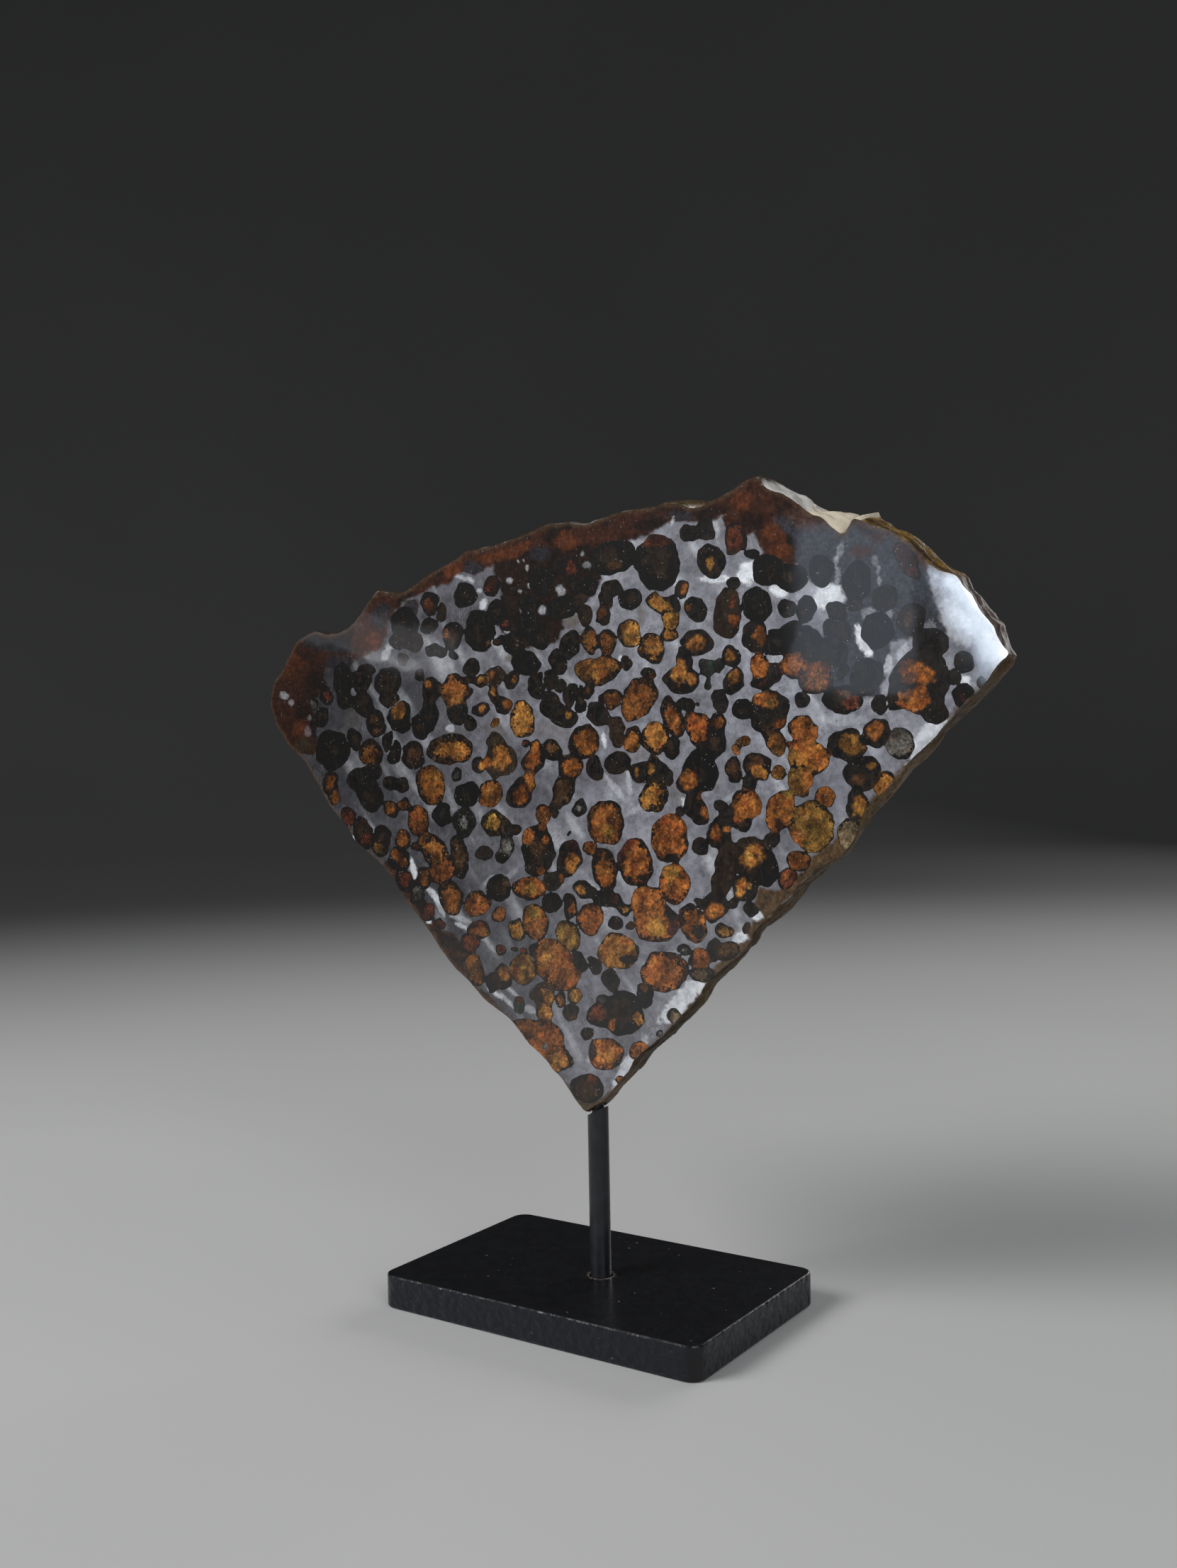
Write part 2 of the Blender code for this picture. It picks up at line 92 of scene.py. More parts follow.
# Crystals of the front face: pixel, half widths, tilt clockwise, then the colour and how far the clear core
# reaches in tenths of the radius, where 0 is a crystal with no darker border. A + lets a crystal melt into
# its neighbours, with no metal between them.
CRYSTALS = (
    # Left part, upper rows
    (571, 879, 20, 23, 0, "D3+"), (561, 905, 14, 12, 0, "D0+"), (585, 907, 14, 16, 0, "D0+"),
    (604, 882, 12.5, 13.5, 0, "B3"), (612, 917, 10, 10, 0, "K0+"), (626, 922, 9, 8, 0, "K0+"),
    (640, 926, 8, 6, 40, "K0"), (567, 929, 8, 9, 0, "B0"), (484, 957, 14, 22, 0, "K2+"),
    (487, 986, 12, 16, 0, "D4+"), (511, 958, 13, 20, 0, "K0+"), (512, 994, 14.5, 18, 0, "D5+"),
    (519, 944, 11, 7, 0, "B3+"), (548, 962, 19, 20, 0, "D5+"), (551, 987, 15, 11, 0, "K0+"),
    (563, 1013, 18, 24, 0, "D3"), (528, 1015, 14, 16, 0, "B4+"), (531, 1030, 12, 12, 0, "B4+"),
    (549, 1047, 10, 13, 0, "K0"), (455, 1012, 10, 14, 0, "D4"), (469, 1057, 24, 29, 0, "K2"),
    (500.5, 1044, 11, 16, 0, "D5"), (522, 1062, 17, 19, 0, "O5"), (526, 1088, 12, 12, 0, "K0+"),
    (508.5, 1099.5, 16.5, 17, 0, "K3+"), (523, 1122, 17.5, 22, -20, "D3+"),
    (467, 1101, 12.5, 17, 0, "O5+"), (471.5, 1122, 9, 14, 0, "O7+"), (460, 981, 10, 15, 0, "R4"),
    (444, 992, 6, 9, 0, "G6"), (592, 951, 8, 10, 0, "K0"), (608, 972, 13, 20, 0, "K0+"),
    (606, 1012, 13, 18, 0, "K3+"), (594, 1027, 13, 17, 0, "D2+"), (557, 1061, 12, 17, 0, "D2+"),
    (583, 1067, 17, 21, 0, "B5"), (634.5, 1056, 31, 22.5, 0, "A6"), (607, 1107, 20.5, 27.5, 0, "O8+"),
    (551.7, 1104.8, 12.5, 9.5, 40, "K0+"), (569, 1109, 8.5, 12, 0, "K0+"), (606, 993, 9, 8, 0, "K0+"),
    # Left edge, lower rows
    (552.6, 1141, 9.5, 14, -30, "O6+"), (570.7, 1135.9, 8, 8.5, 0, "O6+"),
    (589.7, 1156.5, 16.5, 20.5, 0, "O8+"), (624, 1149.7, 14, 18, 0, "K3+"), (598, 1186, 8, 15, 0, "O8+"),
    (611, 1200, 18, 24, -25, "O6+"), (624, 1227, 20, 20, 0, "O7+"), (586, 1193.6, 6.5, 8, 0, "R7+"),
    (569.8, 1185, 11, 15, 0, "O7"), (636, 1267, 17, 26, -15, "O7+"), (598, 1239, 10, 15, 0, "O6+"),
    (588, 1260, 10, 17, 0, "G5+"), (563, 1211.7, 15, 19, 0, "D3"), (569, 1241, 12, 18, -15, "R6+"),
    (539.7, 1179, 14, 14, 0, "D3+"), (537, 1195, 11.5, 14, 0, "Y5+"), (513.8, 1175.5, 13.5, 25, -15, "R5"),
    (491, 1151, 10, 14, -20, "R8"), (605, 1289, 10, 12, 0, "R8"), (622, 1303, 8, 8, 0, "R8"),
    # Left of the middle
    (642, 975, 21.5, 22.5, 0, "A7+"), (647, 1003, 15, 20, 0, "K0+"), (663, 975, 6, 6, 0, "K0+"),
    (663, 1019, 10.5, 12.5, 0, "K0"), (665, 940, 13, 14, 0, "K0"), (679.3, 957.8, 10.5, 10, 0, "A5+"),
    (663, 957, 8, 6, 0, "D4+"), (697.4, 954, 13.5, 16, 0, "D0+"), (723.3, 959.5, 11, 12, 0, "K0+"),
    (696.5, 981, 7, 12, 0, "K0+"), (679.3, 999, 11.5, 10.5, 0, "K0"), (710.3, 995.7, 13, 13, 0, "K0+"),
    (698, 1017.5, 5, 6.5, 0, "A8"), (736.2, 1014.7, 18.5, 27, -8, "A8"), (780, 1059.5, 15, 15, 0, "B5+"),
    (757, 1055, 8.5, 11, 0, "O8+"), (751.7, 1076, 16, 17, 0, "K0+"), (748, 1101.7, 10, 16, 10, "O7+"),
    (733.6, 1119, 17, 23, 20, "K0+"), (741, 1050, 6, 6, 0, "R6+"), (707.8, 1072.4, 23, 24, 0, "D0+"),
    (700, 1050, 13, 14, 0, "D0+"), (696.5, 1038, 5, 7, 0, "K0+"), (674, 1077.6, 10.5, 14, 0, "K0+"),
    (700, 1095, 5, 5, 0, "K0+"), (693, 1120, 17.5, 20, 0, "O8"), (660.3, 1122.4, 19, 18, 0, "K3"),
    (644.5, 1094, 6.5, 10, 0, "G3"), (657.2, 1161, 17.5, 20, 0, "G2+"), (648.3, 1210, 14, 32, -10, "B6+"),
    (698.3, 1161.7, 18, 20, 0, "Y5+"), (713, 1166, 9, 14, 0, "K0+"), (728, 1171, 9, 8, 0, "K0+"),
    (683, 1203.4, 12, 11, 0, "K0"), (708.6, 1207.4, 11.5, 10.5, 0, "K0+"), (714.7, 1192.8, 12, 14, 15, "G6+"),
    (765.5, 1148.8, 13, 14, 0, "O8+"), (759.5, 1198, 23, 37.5, 0, "D4+"), (785.3, 1147, 7, 8.5, 0, "K0"),
    (803.4, 1210, 17, 27, 12, "K0+"), (782, 1242.8, 13.5, 12.5, 0, "K0+"), (803, 1176, 3, 3, 0, "K0"),
    # The black cluster and round it
    (758.6, 967, 12.5, 19, 0, "K0"), (776, 960, 12.5, 15, 0, "K0"), (791.4, 969, 9.5, 10, 0, "K0"),
    (776, 994, 16, 18, 0, "K0+"), (795, 1010, 22, 18, 30, "K0+"), (806, 979, 13, 14, 0, "K0"),
    (818, 984.5, 10, 18, 0, "D2"), (829, 974, 9, 14, 20, "B4+"), (843.5, 944, 32.5, 20, -10, "A8+"),
    (824, 1046.5, 20.5, 25, 20, "O6"), (840.5, 1082, 12, 20, 0, "K0"), (806, 1083, 18, 20, 0, "O7+"),
    (795, 1113, 15, 24, 20, "B6+"), (786, 1138, 8, 8, 0, "K0+"), (818, 1139, 11, 13.5, 25, "G3"),
    (844, 1007, 20, 17, 30, "K0+"), (870, 1033, 13, 22, 0, "D0+"),
    # Upper left of the middle
    (607, 850, 12, 16, 0, "R5"), (622, 864, 8, 14, 0, "D0"), (639.5, 896.5, 14, 21.5, 0, "B5"),
    (657, 840, 17, 19, 0, "D2"), (677.6, 891, 23, 29.5, 0, "D2"), (703, 864, 13, 18, 0, "D3"),
    (703, 903, 8, 7, 0, "R4+"), (714, 879, 9, 14, 0, "R4"), (725, 909.5, 14.5, 16, 0, "D4+"),
    (743, 936, 20, 18, 0, "K2+"), (788, 932, 15, 20, 0, "K0"), (805, 909, 14, 21, 0, "K0"),
    (832, 902, 13, 20, 0, "A7+"), (857, 905, 12, 20, 0, "O7+"), (826, 869, 11, 15, 0, "D0"),
    (831, 824, 13, 16, 0, "D3"), (810, 824, 12, 14, 0, "D4"), (803, 802, 18, 13, 0, "R5"),
    (764, 819, 18, 20, 0, "K2"), (748, 853, 15, 14, 0, "K0"), (795, 857, 22, 17, 0, "D3+"),
    (817, 846, 9, 12, 0, "D0+"), (746.5, 881, 20, 16, 0, "K2+"), (760, 900, 16, 14, 0, "D3+"),
    (695, 828, 13, 16, 0, "R6"), (866, 785, 34, 24, -8, "D4"), (927.5, 794, 33.5, 41, 0, "D5"),
    (864, 830, 15, 12, 0, "K0+"), (855.5, 846, 13, 12, 0, "K0+"), (850.5, 868, 9.5, 14, 0, "K0+"),
    (892, 844, 17, 15.5, 0, "D4"), (887.8, 893, 18, 19.5, 0, "A8"), (920, 914, 19.5, 22, 0, "A7"),
    (929.7, 850.7, 18, 13, 15, "A7+"), (945, 873, 13, 14, 0, "A8+"), (945, 895.5, 12, 11, 0, "A6+"),
    (951, 851, 10, 13, 0, "K0+"),
    # Upper right of the middle
    (961.5, 833.5, 11, 12, 0, "K0"), (981.4, 858.4, 15, 18.5, -20, "K0"), (983.4, 905.9, 24, 19.5, 0, "K0"),
    (1003.4, 792, 21, 23, 0, "K0"), (973.6, 752.4, 14.5, 13, 0, "K0+"), (996, 747, 12, 18, 0, "K0+"),
    (1038, 759, 17, 22, 0, "R8+"), (1033, 779, 8, 8, 0, "D0+"), (1059, 782, 11, 9, 0, "K2"),
    (1034.8, 823, 9, 11, 0, "K0"), (1027, 865, 21, 37, 0, "D0"), (1068.4, 854, 20, 27, 0, "K2"),
    (1066, 899, 20, 23, 0, "K0"), (1083, 805, 24, 22, 0, "D3+"), (1116.6, 815, 22, 20, 0, "D2+"),
    (1108.8, 859.1, 13.5, 14.5, 0, "K0"), (1136.4, 860, 15, 19, 0, "D2"), (1158, 805, 18, 23, 0, "K2"),
    (1209.7, 818.6, 22, 27, 0, "K2"), (1206, 851, 11, 10, 0, "K0"), (1182, 865, 16, 15, 0, "D4"),
    (1182, 891, 20, 18, 0, "K0"), (1249.3, 843.6, 19.5, 19, 0, "K0"), (1239, 889, 24, 26, 0, "K2"),
    (1287, 873.8, 20, 25, 20, "K0"), (1281, 791, 31, 14, 58, "M8"),
    # Right end
    (1312.8, 906.6, 26, 21, 0, "K0+"), (1299, 961.7, 42, 46, 10, "K0+"), (1243, 994.5, 12, 14, 0, "K0"),
    (1318, 1008, 18, 14, 0, "K0+"), (1264, 985, 13, 18, 0, "K0+"),
    (1359, 934, 15, 17, 0, "K0"), (1347, 955, 10, 12, 0, "K0"), (1361, 984, 17, 19, 0, "M3"),
    (1385, 962.6, 8, 9, 0, "K0"), (1187.4, 949, 8.5, 12, 0, "K0"), (1222.8, 952.4, 24, 29, 0, "K0"),
    (1178, 914.5, 18, 26, 0, "K0+"), (1190, 987, 31, 20, 5, "D5"), (1131, 988, 12, 11, 0, "K0"),
    (1237.4, 1034.3, 20, 22, 0, "K0"), (1272, 1048, 21.5, 25, 0, "G9"),
    (1194.3, 1052.4, 29.5, 23.5, 12, "K0"),
    (1217.6, 1092, 26, 25.5, 0, "K0+"), (1249.5, 1107.6, 15, 20, 0, "A7"), (1208.6, 1137, 16, 21, 0, "K0+"),
    # Middle
    (961.4, 959.5, 25, 20, 0, "K0+"), (964.8, 928, 12, 19, 0, "K0+"), (914.8, 949, 11.5, 9.5, 0, "K0+"),
    (901, 986, 22, 34, 30, "O8"), (862, 986, 17.5, 16, 0, "O6"), (884, 935, 8, 11, 0, "D0"),
    (892.4, 1043, 14, 19, 0, "O7"), (924, 1044, 20, 25, 0, "A7"), (949, 1055, 10, 16, 0, "D4"),
    (949, 1011, 15.5, 31, -15, "O6"), (970, 994, 12.5, 10.5, 0, "D3"), (987, 993, 3.5, 3, 0, "D0"),
    (973.5, 1011, 6, 8, 0, "D0+"), (984.7, 1031, 19, 29, -10, "O7+"), (1007, 1046.5, 18.5, 23, 0, "D4+"),
    (1013, 1019, 12, 16, 0, "R5+"), (1016.6, 988, 12, 18, 0, "K0"), (1036.4, 959.5, 15.5, 20, 0, "K0"),
    (1032, 926, 14, 15, 0, "K0"), (997.6, 942, 13, 14, 0, "F0+"), (1000, 966, 5, 10, 0, "F0+"),
    (1014.5, 938, 6, 10, 0, "F0+"), (1049, 1000, 16.5, 14, 0, "K2"), (1072, 941, 15, 18.5, 0, "O9+"),
    (1095, 949, 12, 16, 0, "K0+"), (1097, 906, 26, 20, 0, "K2+"), (1130, 898, 30, 20, 15, "K2+"),
    (1075, 963, 17, 8, 0, "M3+"), (1121, 938.6, 16, 20, 0, "O8+"), (1150, 955, 25, 25, 0, "O8+"),
    (1147, 922, 22, 14, 0, "K0+"), (1086.5, 999, 26, 27, 0, "K0+"), (1075, 1018, 16, 14, 0, "K0+"),
    (1088, 1032, 12, 12, 0, "B5+"), (1133, 1028, 21, 19, 0, "O9+"), (1099, 1019, 10, 10, 0, "O8+"),
    (1096, 1048, 14, 17, 0, "O8+"), (1141.7, 1068.8, 30, 24, 20, "O9+"), (1128, 1102, 17.5, 21, 0, "Y9+"),
    (1135, 1120, 5, 4, 0, "D0+"), (1117.6, 1050, 6, 5.5, 0, "R8+"), (1099.5, 1090, 11, 10, 0, "Y8"),
    (1050, 1047, 9.5, 8.5, 0, "O9+"), (1039, 1059.5, 7, 8, 0, "O9+"), (1035.5, 1088, 14, 18.5, 0, "B6"),
    (1070, 1080, 17.5, 20, -25, "B5+"), (1056, 1105, 10, 11.5, 0, "K0+"), (1017.2, 1136, 8.5, 12, -20, "K0"),
    (985.5, 1091.4, 28, 30, 0, "K3+"), (968, 1108, 16, 14, 30, "K0+"), (906, 1091, 19, 14, 0, "K0+"),
    (932, 1088, 12, 24, -35, "K0+"), (922.6, 1122.4, 20, 23.5, 0, "A6"), (872.6, 1076.7, 18, 17.5, 0, "K0"),
    # Lower middle
    (833, 1196, 9.5, 9.5, 0, "O8+"), (853.6, 1225.9, 19, 28.5, -10, "O6+"),
    (855.3, 1159.5, 27, 32.5, 8, "O8"),
    (705, 1252, 17, 19.5, 0, "D4"), (748.3, 1251.4, 25, 16.5, 0, "O8"), (779.3, 1273, 13, 15, 0, "D3"),
    (803.4, 1280, 10, 17, -10, "O4+"), (824, 1254.8, 15, 13, 10, "K0+"), (857, 1267, 22, 14, 10, "K2+"),
    (832.8, 1297, 17.5, 23.5, 0, "O8+"), (868.3, 1302.6, 11, 9.5, 0, "K0"), (888, 1304.5, 6, 6, 0, "D0"),
    (673.3, 1272, 18, 20, 0, "O8"), (706, 1290, 12.5, 12.5, 0, "O8"), (756, 1300.5, 19, 27, -10, "O8"),
    (731, 1312.6, 14, 15, 0, "Y7"), (675.9, 1310.9, 16, 15, 25, "O7+"), (663, 1331.5, 12.5, 13, 0, "R7+"),
    (707.8, 1342.8, 8.6, 7.8, 0, "R8"), (727, 1341, 5, 4, 0, "D0"), (738.5, 1343.5, 5.6, 5.3, 0, "R8"),
    (802.6, 1321, 17, 24, -10, "Y8"), (896.7, 1217, 24.5, 35, -12, "O7"), (946, 1184.5, 25.5, 36, 0, "O9"),
    (952, 1246.5, 21.5, 27.5, 0, "O9+"), (913, 1271, 25, 22, 0, "O9+"), (926, 1301, 34, 28, 0, "O8+"),
    (977.8, 1300.9, 19.5, 28, -10, "O7"), (985.5, 1279.5, 8, 9, 0, "K0+"),
    (1009.7, 1279.3, 20, 23.5, 0, "K0+"),
    (1026, 1215, 18, 30, 0, "D0+"), (1017, 1247, 14, 20, 0, "D0+"), (1059.7, 1206.9, 29, 27, 0, "D0+"),
    (1052.8, 1251.7, 19, 20, 0, "K0+"), (1014.8, 1175.9, 17, 22, 0, "K0+"),
    (1052.8, 1134.5, 22, 22, 0, "O9+"),
    (1032, 1150, 18, 16, 0, "K0+"), (1047.6, 1163.8, 12, 12, 0, "D4+"), (983.8, 1141.4, 16, 24, -25, "K0+"),
    (960.5, 1146, 7, 6.5, 0, "K0"), (988, 1193, 12, 12.5, 0, "K0"), (1058, 1284, 8, 11, 0, "K0"),
    (1022.6, 1313.8, 14, 9.5, 12, "Y6"), (1054, 1311, 7, 9, 0, "D0"), (1037, 1275, 7, 8.5, 0, "K0+"),
    (880, 1283, 10, 9, 30, "Y4+"), (871.5, 1342.5, 29, 27, 0, "Y9"), (963.3, 1340, 9, 7.5, 0, "G3"),
    (984.8, 1352.8, 15.5, 17, 0, "O8+"), (990, 1373.4, 18, 11, 0, "T6+"), (1007, 1340, 11, 19, 0, "K0+"),
    (1026, 1343, 16, 14, 0, "B7+"),
    # Right edge, lower rows
    (1101.7, 1143.8, 21, 31, 15, "O9+"), (1165.5, 1124.8, 15, 14.5, 0, "O9"),
    (1146.5, 1166, 31, 37, 0, "Y9+"), (1127.6, 1217, 16, 16.5, 0, "O8"), (1110.3, 1240.3, 14, 17, 0, "R8"),
    (1091.4, 1185, 12, 12, 0, "K0+"), (1082.8, 1226.6, 15, 25, 0, "K2+"), (1200, 1176.6, 19, 21, 0, "T8"),
    # Bottom
    (670.3, 1368, 13, 23.5, -15, "O8+"), (709, 1378, 13.5, 20, 0, "D0+"), (694.5, 1387, 9, 14, 0, "D4+"),
    (738.4, 1368, 19, 21, 0, "Y9"), (784, 1361, 41, 27, 50, "O9+"), (752, 1345, 8, 12, 0, "D4+"),
    (765, 1404, 18.5, 16, 0, "D0+"), (791, 1409, 7.5, 12, -10, "O5"), (811, 1403, 10.8, 12, 0, "Y8"),
    (807.4, 1427.4, 11.3, 13, 0, "K0"), (733.3, 1418.8, 8.5, 13, -10, "F0"), (769.5, 1428, 12, 15, 0, "A7+"),
    (744.5, 1450.7, 20, 14, 10, "O8+"), (768.6, 1468, 27, 28, 0, "O9+"), (788, 1496, 21, 18, 30, "A8+"),
    (817.6, 1356, 10, 14, 0, "K0+"), (837.4, 1361.4, 10, 15.5, -25, "K0"), (862.4, 1383, 11, 16, -35, "K0+"),
    (938.3, 1370, 33, 28.5, 0, "O8"), (909, 1404.5, 14.5, 20, -10, "K2"), (880, 1430, 32, 32, 0, "D5+"),
    (848, 1432, 20, 18, 0, "D4+"), (850, 1410, 10, 9, 0, "G5+"), (828.8, 1458.8, 9.5, 10, 0, "D5+"),
    (854.7, 1488, 25.5, 24, 15, "O8+"), (899.5, 1482, 15, 14, 0, "O9"), (929, 1459, 6, 4.7, 0, "G4"),
    (876.5, 1525, 8, 6, 0, "O8"), (829, 1536, 25, 21, 20, "B6+"), (951, 1434, 10, 11, 0, "T6"),
)

# Patches of another colour inside crystals: pixel, half widths, tilt clockwise, colour
PATCHES = (
    (561, 1003, 12, 14, 0, "A"), (603.6, 963.5, 7, 6, 0, "A"), (558.6, 1206.5, 7, 12, -30, "O"),
    (570, 1217, 5, 5, 0, "O"), (513, 1165, 12, 13, 0, "D"), (694, 951.7, 5, 7, 0, "O"),
    (725.5, 960, 4.5, 6, 0, "A"), (696, 975, 3, 6, 0, "A"), (681, 999, 5.5, 6, 0, "A"),
    (715.5, 994, 7.5, 9, 0, "O"), (745, 1036, 6, 4, 0, "K"), (801.7, 1007, 6, 8, 0, "Y"),
    (752.6, 1072, 9, 15, 10, "O"), (734.5, 1120.7, 10.5, 16, 20, "O"), (708.6, 1067, 14, 18, 0, "A"),
    (688, 1074, 7, 8, 0, "O"), (678.4, 1079, 5, 7, 0, "A"), (744.8, 1179, 10, 13, 0, "O"),
    (767, 1167, 10, 9, 0, "O"), (772, 1186, 6, 8, 0, "O"), (757, 1196, 12, 12, 0, "B"),
    (772, 1212, 10, 14, 0, "K"), (750, 1225.5, 9, 7, 0, "K"), (766.4, 1228, 5, 7, 0, "O"),
    (807, 1217, 9, 16, 12, "A"), (808.6, 1191, 10, 8, 0, "M"), (791.4, 1239.3, 4, 6, 0, "O"),
    (859, 1207, 8, 10, 0, "D"), (832, 1158, 4, 22, 0, "K"), (856, 1170, 9, 12, 0, "Y"),
    (715, 1245, 7, 7, 0, "B"), (747, 1255, 11, 9, 0, "Y"), (820, 1254.8, 8, 7, 0, "A"),
    (866, 1265, 8, 9, 0, "M"), (752, 1285, 11, 11, 0, "Y"), (664, 1302, 8, 9, 0, "M"),
    (682, 1315, 8, 8, 0, "A"), (868, 795, 14, 7, -15, "B"), (925, 760, 22, 12, 0, "R"),
    (860.7, 830, 5, 4, 0, "B"), (848, 866, 6, 10, 0, "O"), (964.5, 832.6, 5.5, 8, 0, "O"),
    (973.6, 855.9, 5, 5, 0, "O"), (983, 910, 14, 11, 0, "A"), (1002, 793.8, 5, 10, 0, "Y"),
    (1034.8, 850, 5, 8, 0, "R"), (1036.5, 876.5, 9, 10, 0, "O"), (1070, 896.4, 9.5, 14, 0, "O"),
    (1283.8, 873.8, 6, 8, 0, "B"), (1293, 949.7, 28, 17, 20, "O"), (1290, 987.6, 24, 19, 0, "O"),
    (958, 948, 11, 22, 0, "A"), (975, 957, 9, 8, 0, "A"), (918, 951, 4.5, 4.5, 0, "O"),
    (1016.6, 1019, 5, 8, 0, "O"), (1035.5, 953.5, 9.5, 11, 0, "A"), (1031, 925, 8, 8, 0, "A"),
    (1140, 918, 14, 8, 0, "F"), (1081, 983.4, 16, 12, 0, "O"), (1091, 989, 8, 10, 0, "A"),
    (1204, 990, 15, 13, 0, "R"), (1186.5, 976.5, 14, 6, 0, "B"), (1234.8, 1030, 11.5, 13, 0, "O"),
    (1200, 1050, 18, 15, 12, "Y"), (1221, 1054, 4, 6, 0, "A"), (1096, 1060, 10, 6, 0, "Y"),
    (1118, 1066, 10, 13, 0, "Y"), (1137, 1104, 9, 15, 0, "O"), (1094, 1087, 5, 6, 0, "O"),
    (1214, 1102.4, 10, 10, 0, "B"), (1229.7, 1080, 6, 5, 0, "Y"), (1211, 1138, 11, 15, 0, "Y"),
    (1071.7, 1088, 12, 10, 0, "A"), (970, 1100, 15, 17, 0, "O"), (918, 1087, 5, 7, 0, "A"),
    (898.4, 1089.7, 3, 5, 0, "A"), (886, 1190, 12, 12, 0, "R"), (877, 1207, 7, 14, 0, "M"),
    (947.6, 1214, 17, 7, 0, "K"), (968, 1183, 4, 12, 0, "K"), (948, 1232, 12, 12, 0, "Y"),
    (927, 1308.6, 15, 12, 0, "Y"), (947.6, 1286, 14, 15, 0, "K"), (951, 1309.5, 10, 12, 0, "M"),
    (986, 1312, 10, 12, 0, "K"), (1009.7, 1286, 16, 13, 0, "O"), (1059.7, 1206.9, 18, 19, 0, "A"),
    (1065, 1208, 5, 3, 0, "D"), (1046, 1252, 9, 15, 0, "A"), (1058, 1248, 5, 5, 0, "Y"),
    (1012, 1176, 8, 14, 0, "O"), (1026, 1168, 6, 6, 0, "O"), (1043, 1151, 7, 10, 0, "O"),
    (996, 1148, 8, 9, 0, "O"), (990, 1125, 5, 6, 0, "O"), (886.5, 1354.5, 11, 9, 0, "K"),
    (886, 1328, 8, 8, 0, "O"), (1114, 1116, 8, 7, 0, "Y"), (1098, 1163, 8, 11, 0, "M"),
    (1122, 1182, 9, 14, 0, "O"), (1107, 1236, 6, 6, 0, "O"), (711, 1374, 8, 12, 0, "A"),
    (725, 1372, 7, 12, 0, "O"), (770, 1345, 14, 14, 0, "A"), (774, 1406, 9, 10, 0, "Y"),
    (764, 1400, 4, 5, 0, "A"), (810, 1435, 6, 5, 0, "B"), (734, 1412, 4, 6, 0, "R"),
    (767, 1475, 3, 6, -30, "G"), (806, 1352, 5, 9, 0, "R"), (909, 1392, 8, 8, 0, "B"),
    (843.4, 1430, 13, 12, 0, "R"), (903, 1437, 7, 11, 0, "A"), (863, 1447, 6, 10, 0, "O"),
    (835, 1482, 7, 18, 0, "D"), (862, 1490, 8, 14, -30, "A"), (834, 1523.4, 8, 9, 0, "R"),
    (630, 893, 5, 8, 0, "O"), (691, 907, 3, 8, 30, "O"),
)

# The oxidised margin along the top, as a polygon of photograph pixels
OXIDE = (
    (370, 1062), (415, 1068), (440, 1062), (450, 1040), (446, 1008), (455, 975), (452, 955), (468, 938),
    (500, 930), (530, 922), (545, 905), (548, 880), (556, 858), (575, 845), (600, 838), (632, 822),
    (650, 806), (690, 800), (740, 796), (775, 800), (815, 792), (838, 778), (880, 765), (900, 758),
    (935, 742), (955, 735), (1003, 737), (1018, 728), (1024, 745), (1040, 770), (1062, 752), (1072, 770),
    (1085, 795), (1120, 800), (1135, 785), (1175, 778), (1200, 790), (1230, 786), (1233, 766), (1262, 760),
    (1275, 790), (1300, 828), (1310, 835), (1312, 815), (1300, 790), (1340, 780), (1200, 640), (1060, 640),
    (900, 680), (600, 740), (480, 820), (340, 960),
)

# Dark ground below the oxidised margin, left of the middle and near the right tip. Near the tip it takes
# a hazy blue-grey tone, partly the crust's own and partly a painted reflection of the lacquer's veil
DARK_GROUND = (
    (690, 780), (708, 838), (700, 862), (702, 886), (716, 902), (738, 914), (786, 906), (797, 886),
    (790, 870), (802, 856), (820, 848), (840, 838), (848, 815), (842, 770),
)
DARK_TIP = (
    (1118, 752), (1160, 742), (1215, 742), (1262, 758), (1302, 795), (1322, 850), (1336, 890), (1312, 912),
    (1285, 900), (1256, 905), (1252, 945), (1240, 982), (1205, 985), (1165, 972), (1156, 930), (1165, 880),
    (1192, 862), (1192, 826), (1150, 822), (1128, 812),
)

# Dark rust inside the lower left edge, tan crust inside the lower right one, olive crust at the lowest tip,
# and the tone of each with the tone of its clouds
RUST_EDGE = (
    (560, 1205), (572, 1222), (590, 1240), (598, 1262), (612, 1292), (622, 1308), (648, 1324), (662, 1345),
    (656, 1362), (668, 1389), (692, 1404), (702, 1416), (720, 1452), (640, 1420), (560, 1300), (530, 1220),
)
TAN_EDGE = (
    (1257, 1107), (1230, 1132), (1200, 1153), (1187, 1162), (1182, 1176), (1173, 1188), (1164, 1193),
    (1147, 1206), (1139, 1226), (1121, 1234), (1098, 1257), (1072, 1252), (1064, 1272), (1063, 1298),
    (1040, 1332), (1010, 1364), (985, 1386), (955, 1424), (951, 1450), (1010, 1420), (1110, 1310),
    (1240, 1190), (1290, 1110),
)
TIP_EDGE = (
    (785, 1522), (803, 1532), (812, 1546), (826, 1553), (845, 1552), (858, 1543), (872, 1532), (885, 1540),
    (850, 1585), (815, 1585), (775, 1535),
)
EDGE_CRUSTS = ((RUST_EDGE, "dark", "rust"), (TAN_EDGE, "tan", "olive"), (TIP_EDGE, "olive", "olive"))

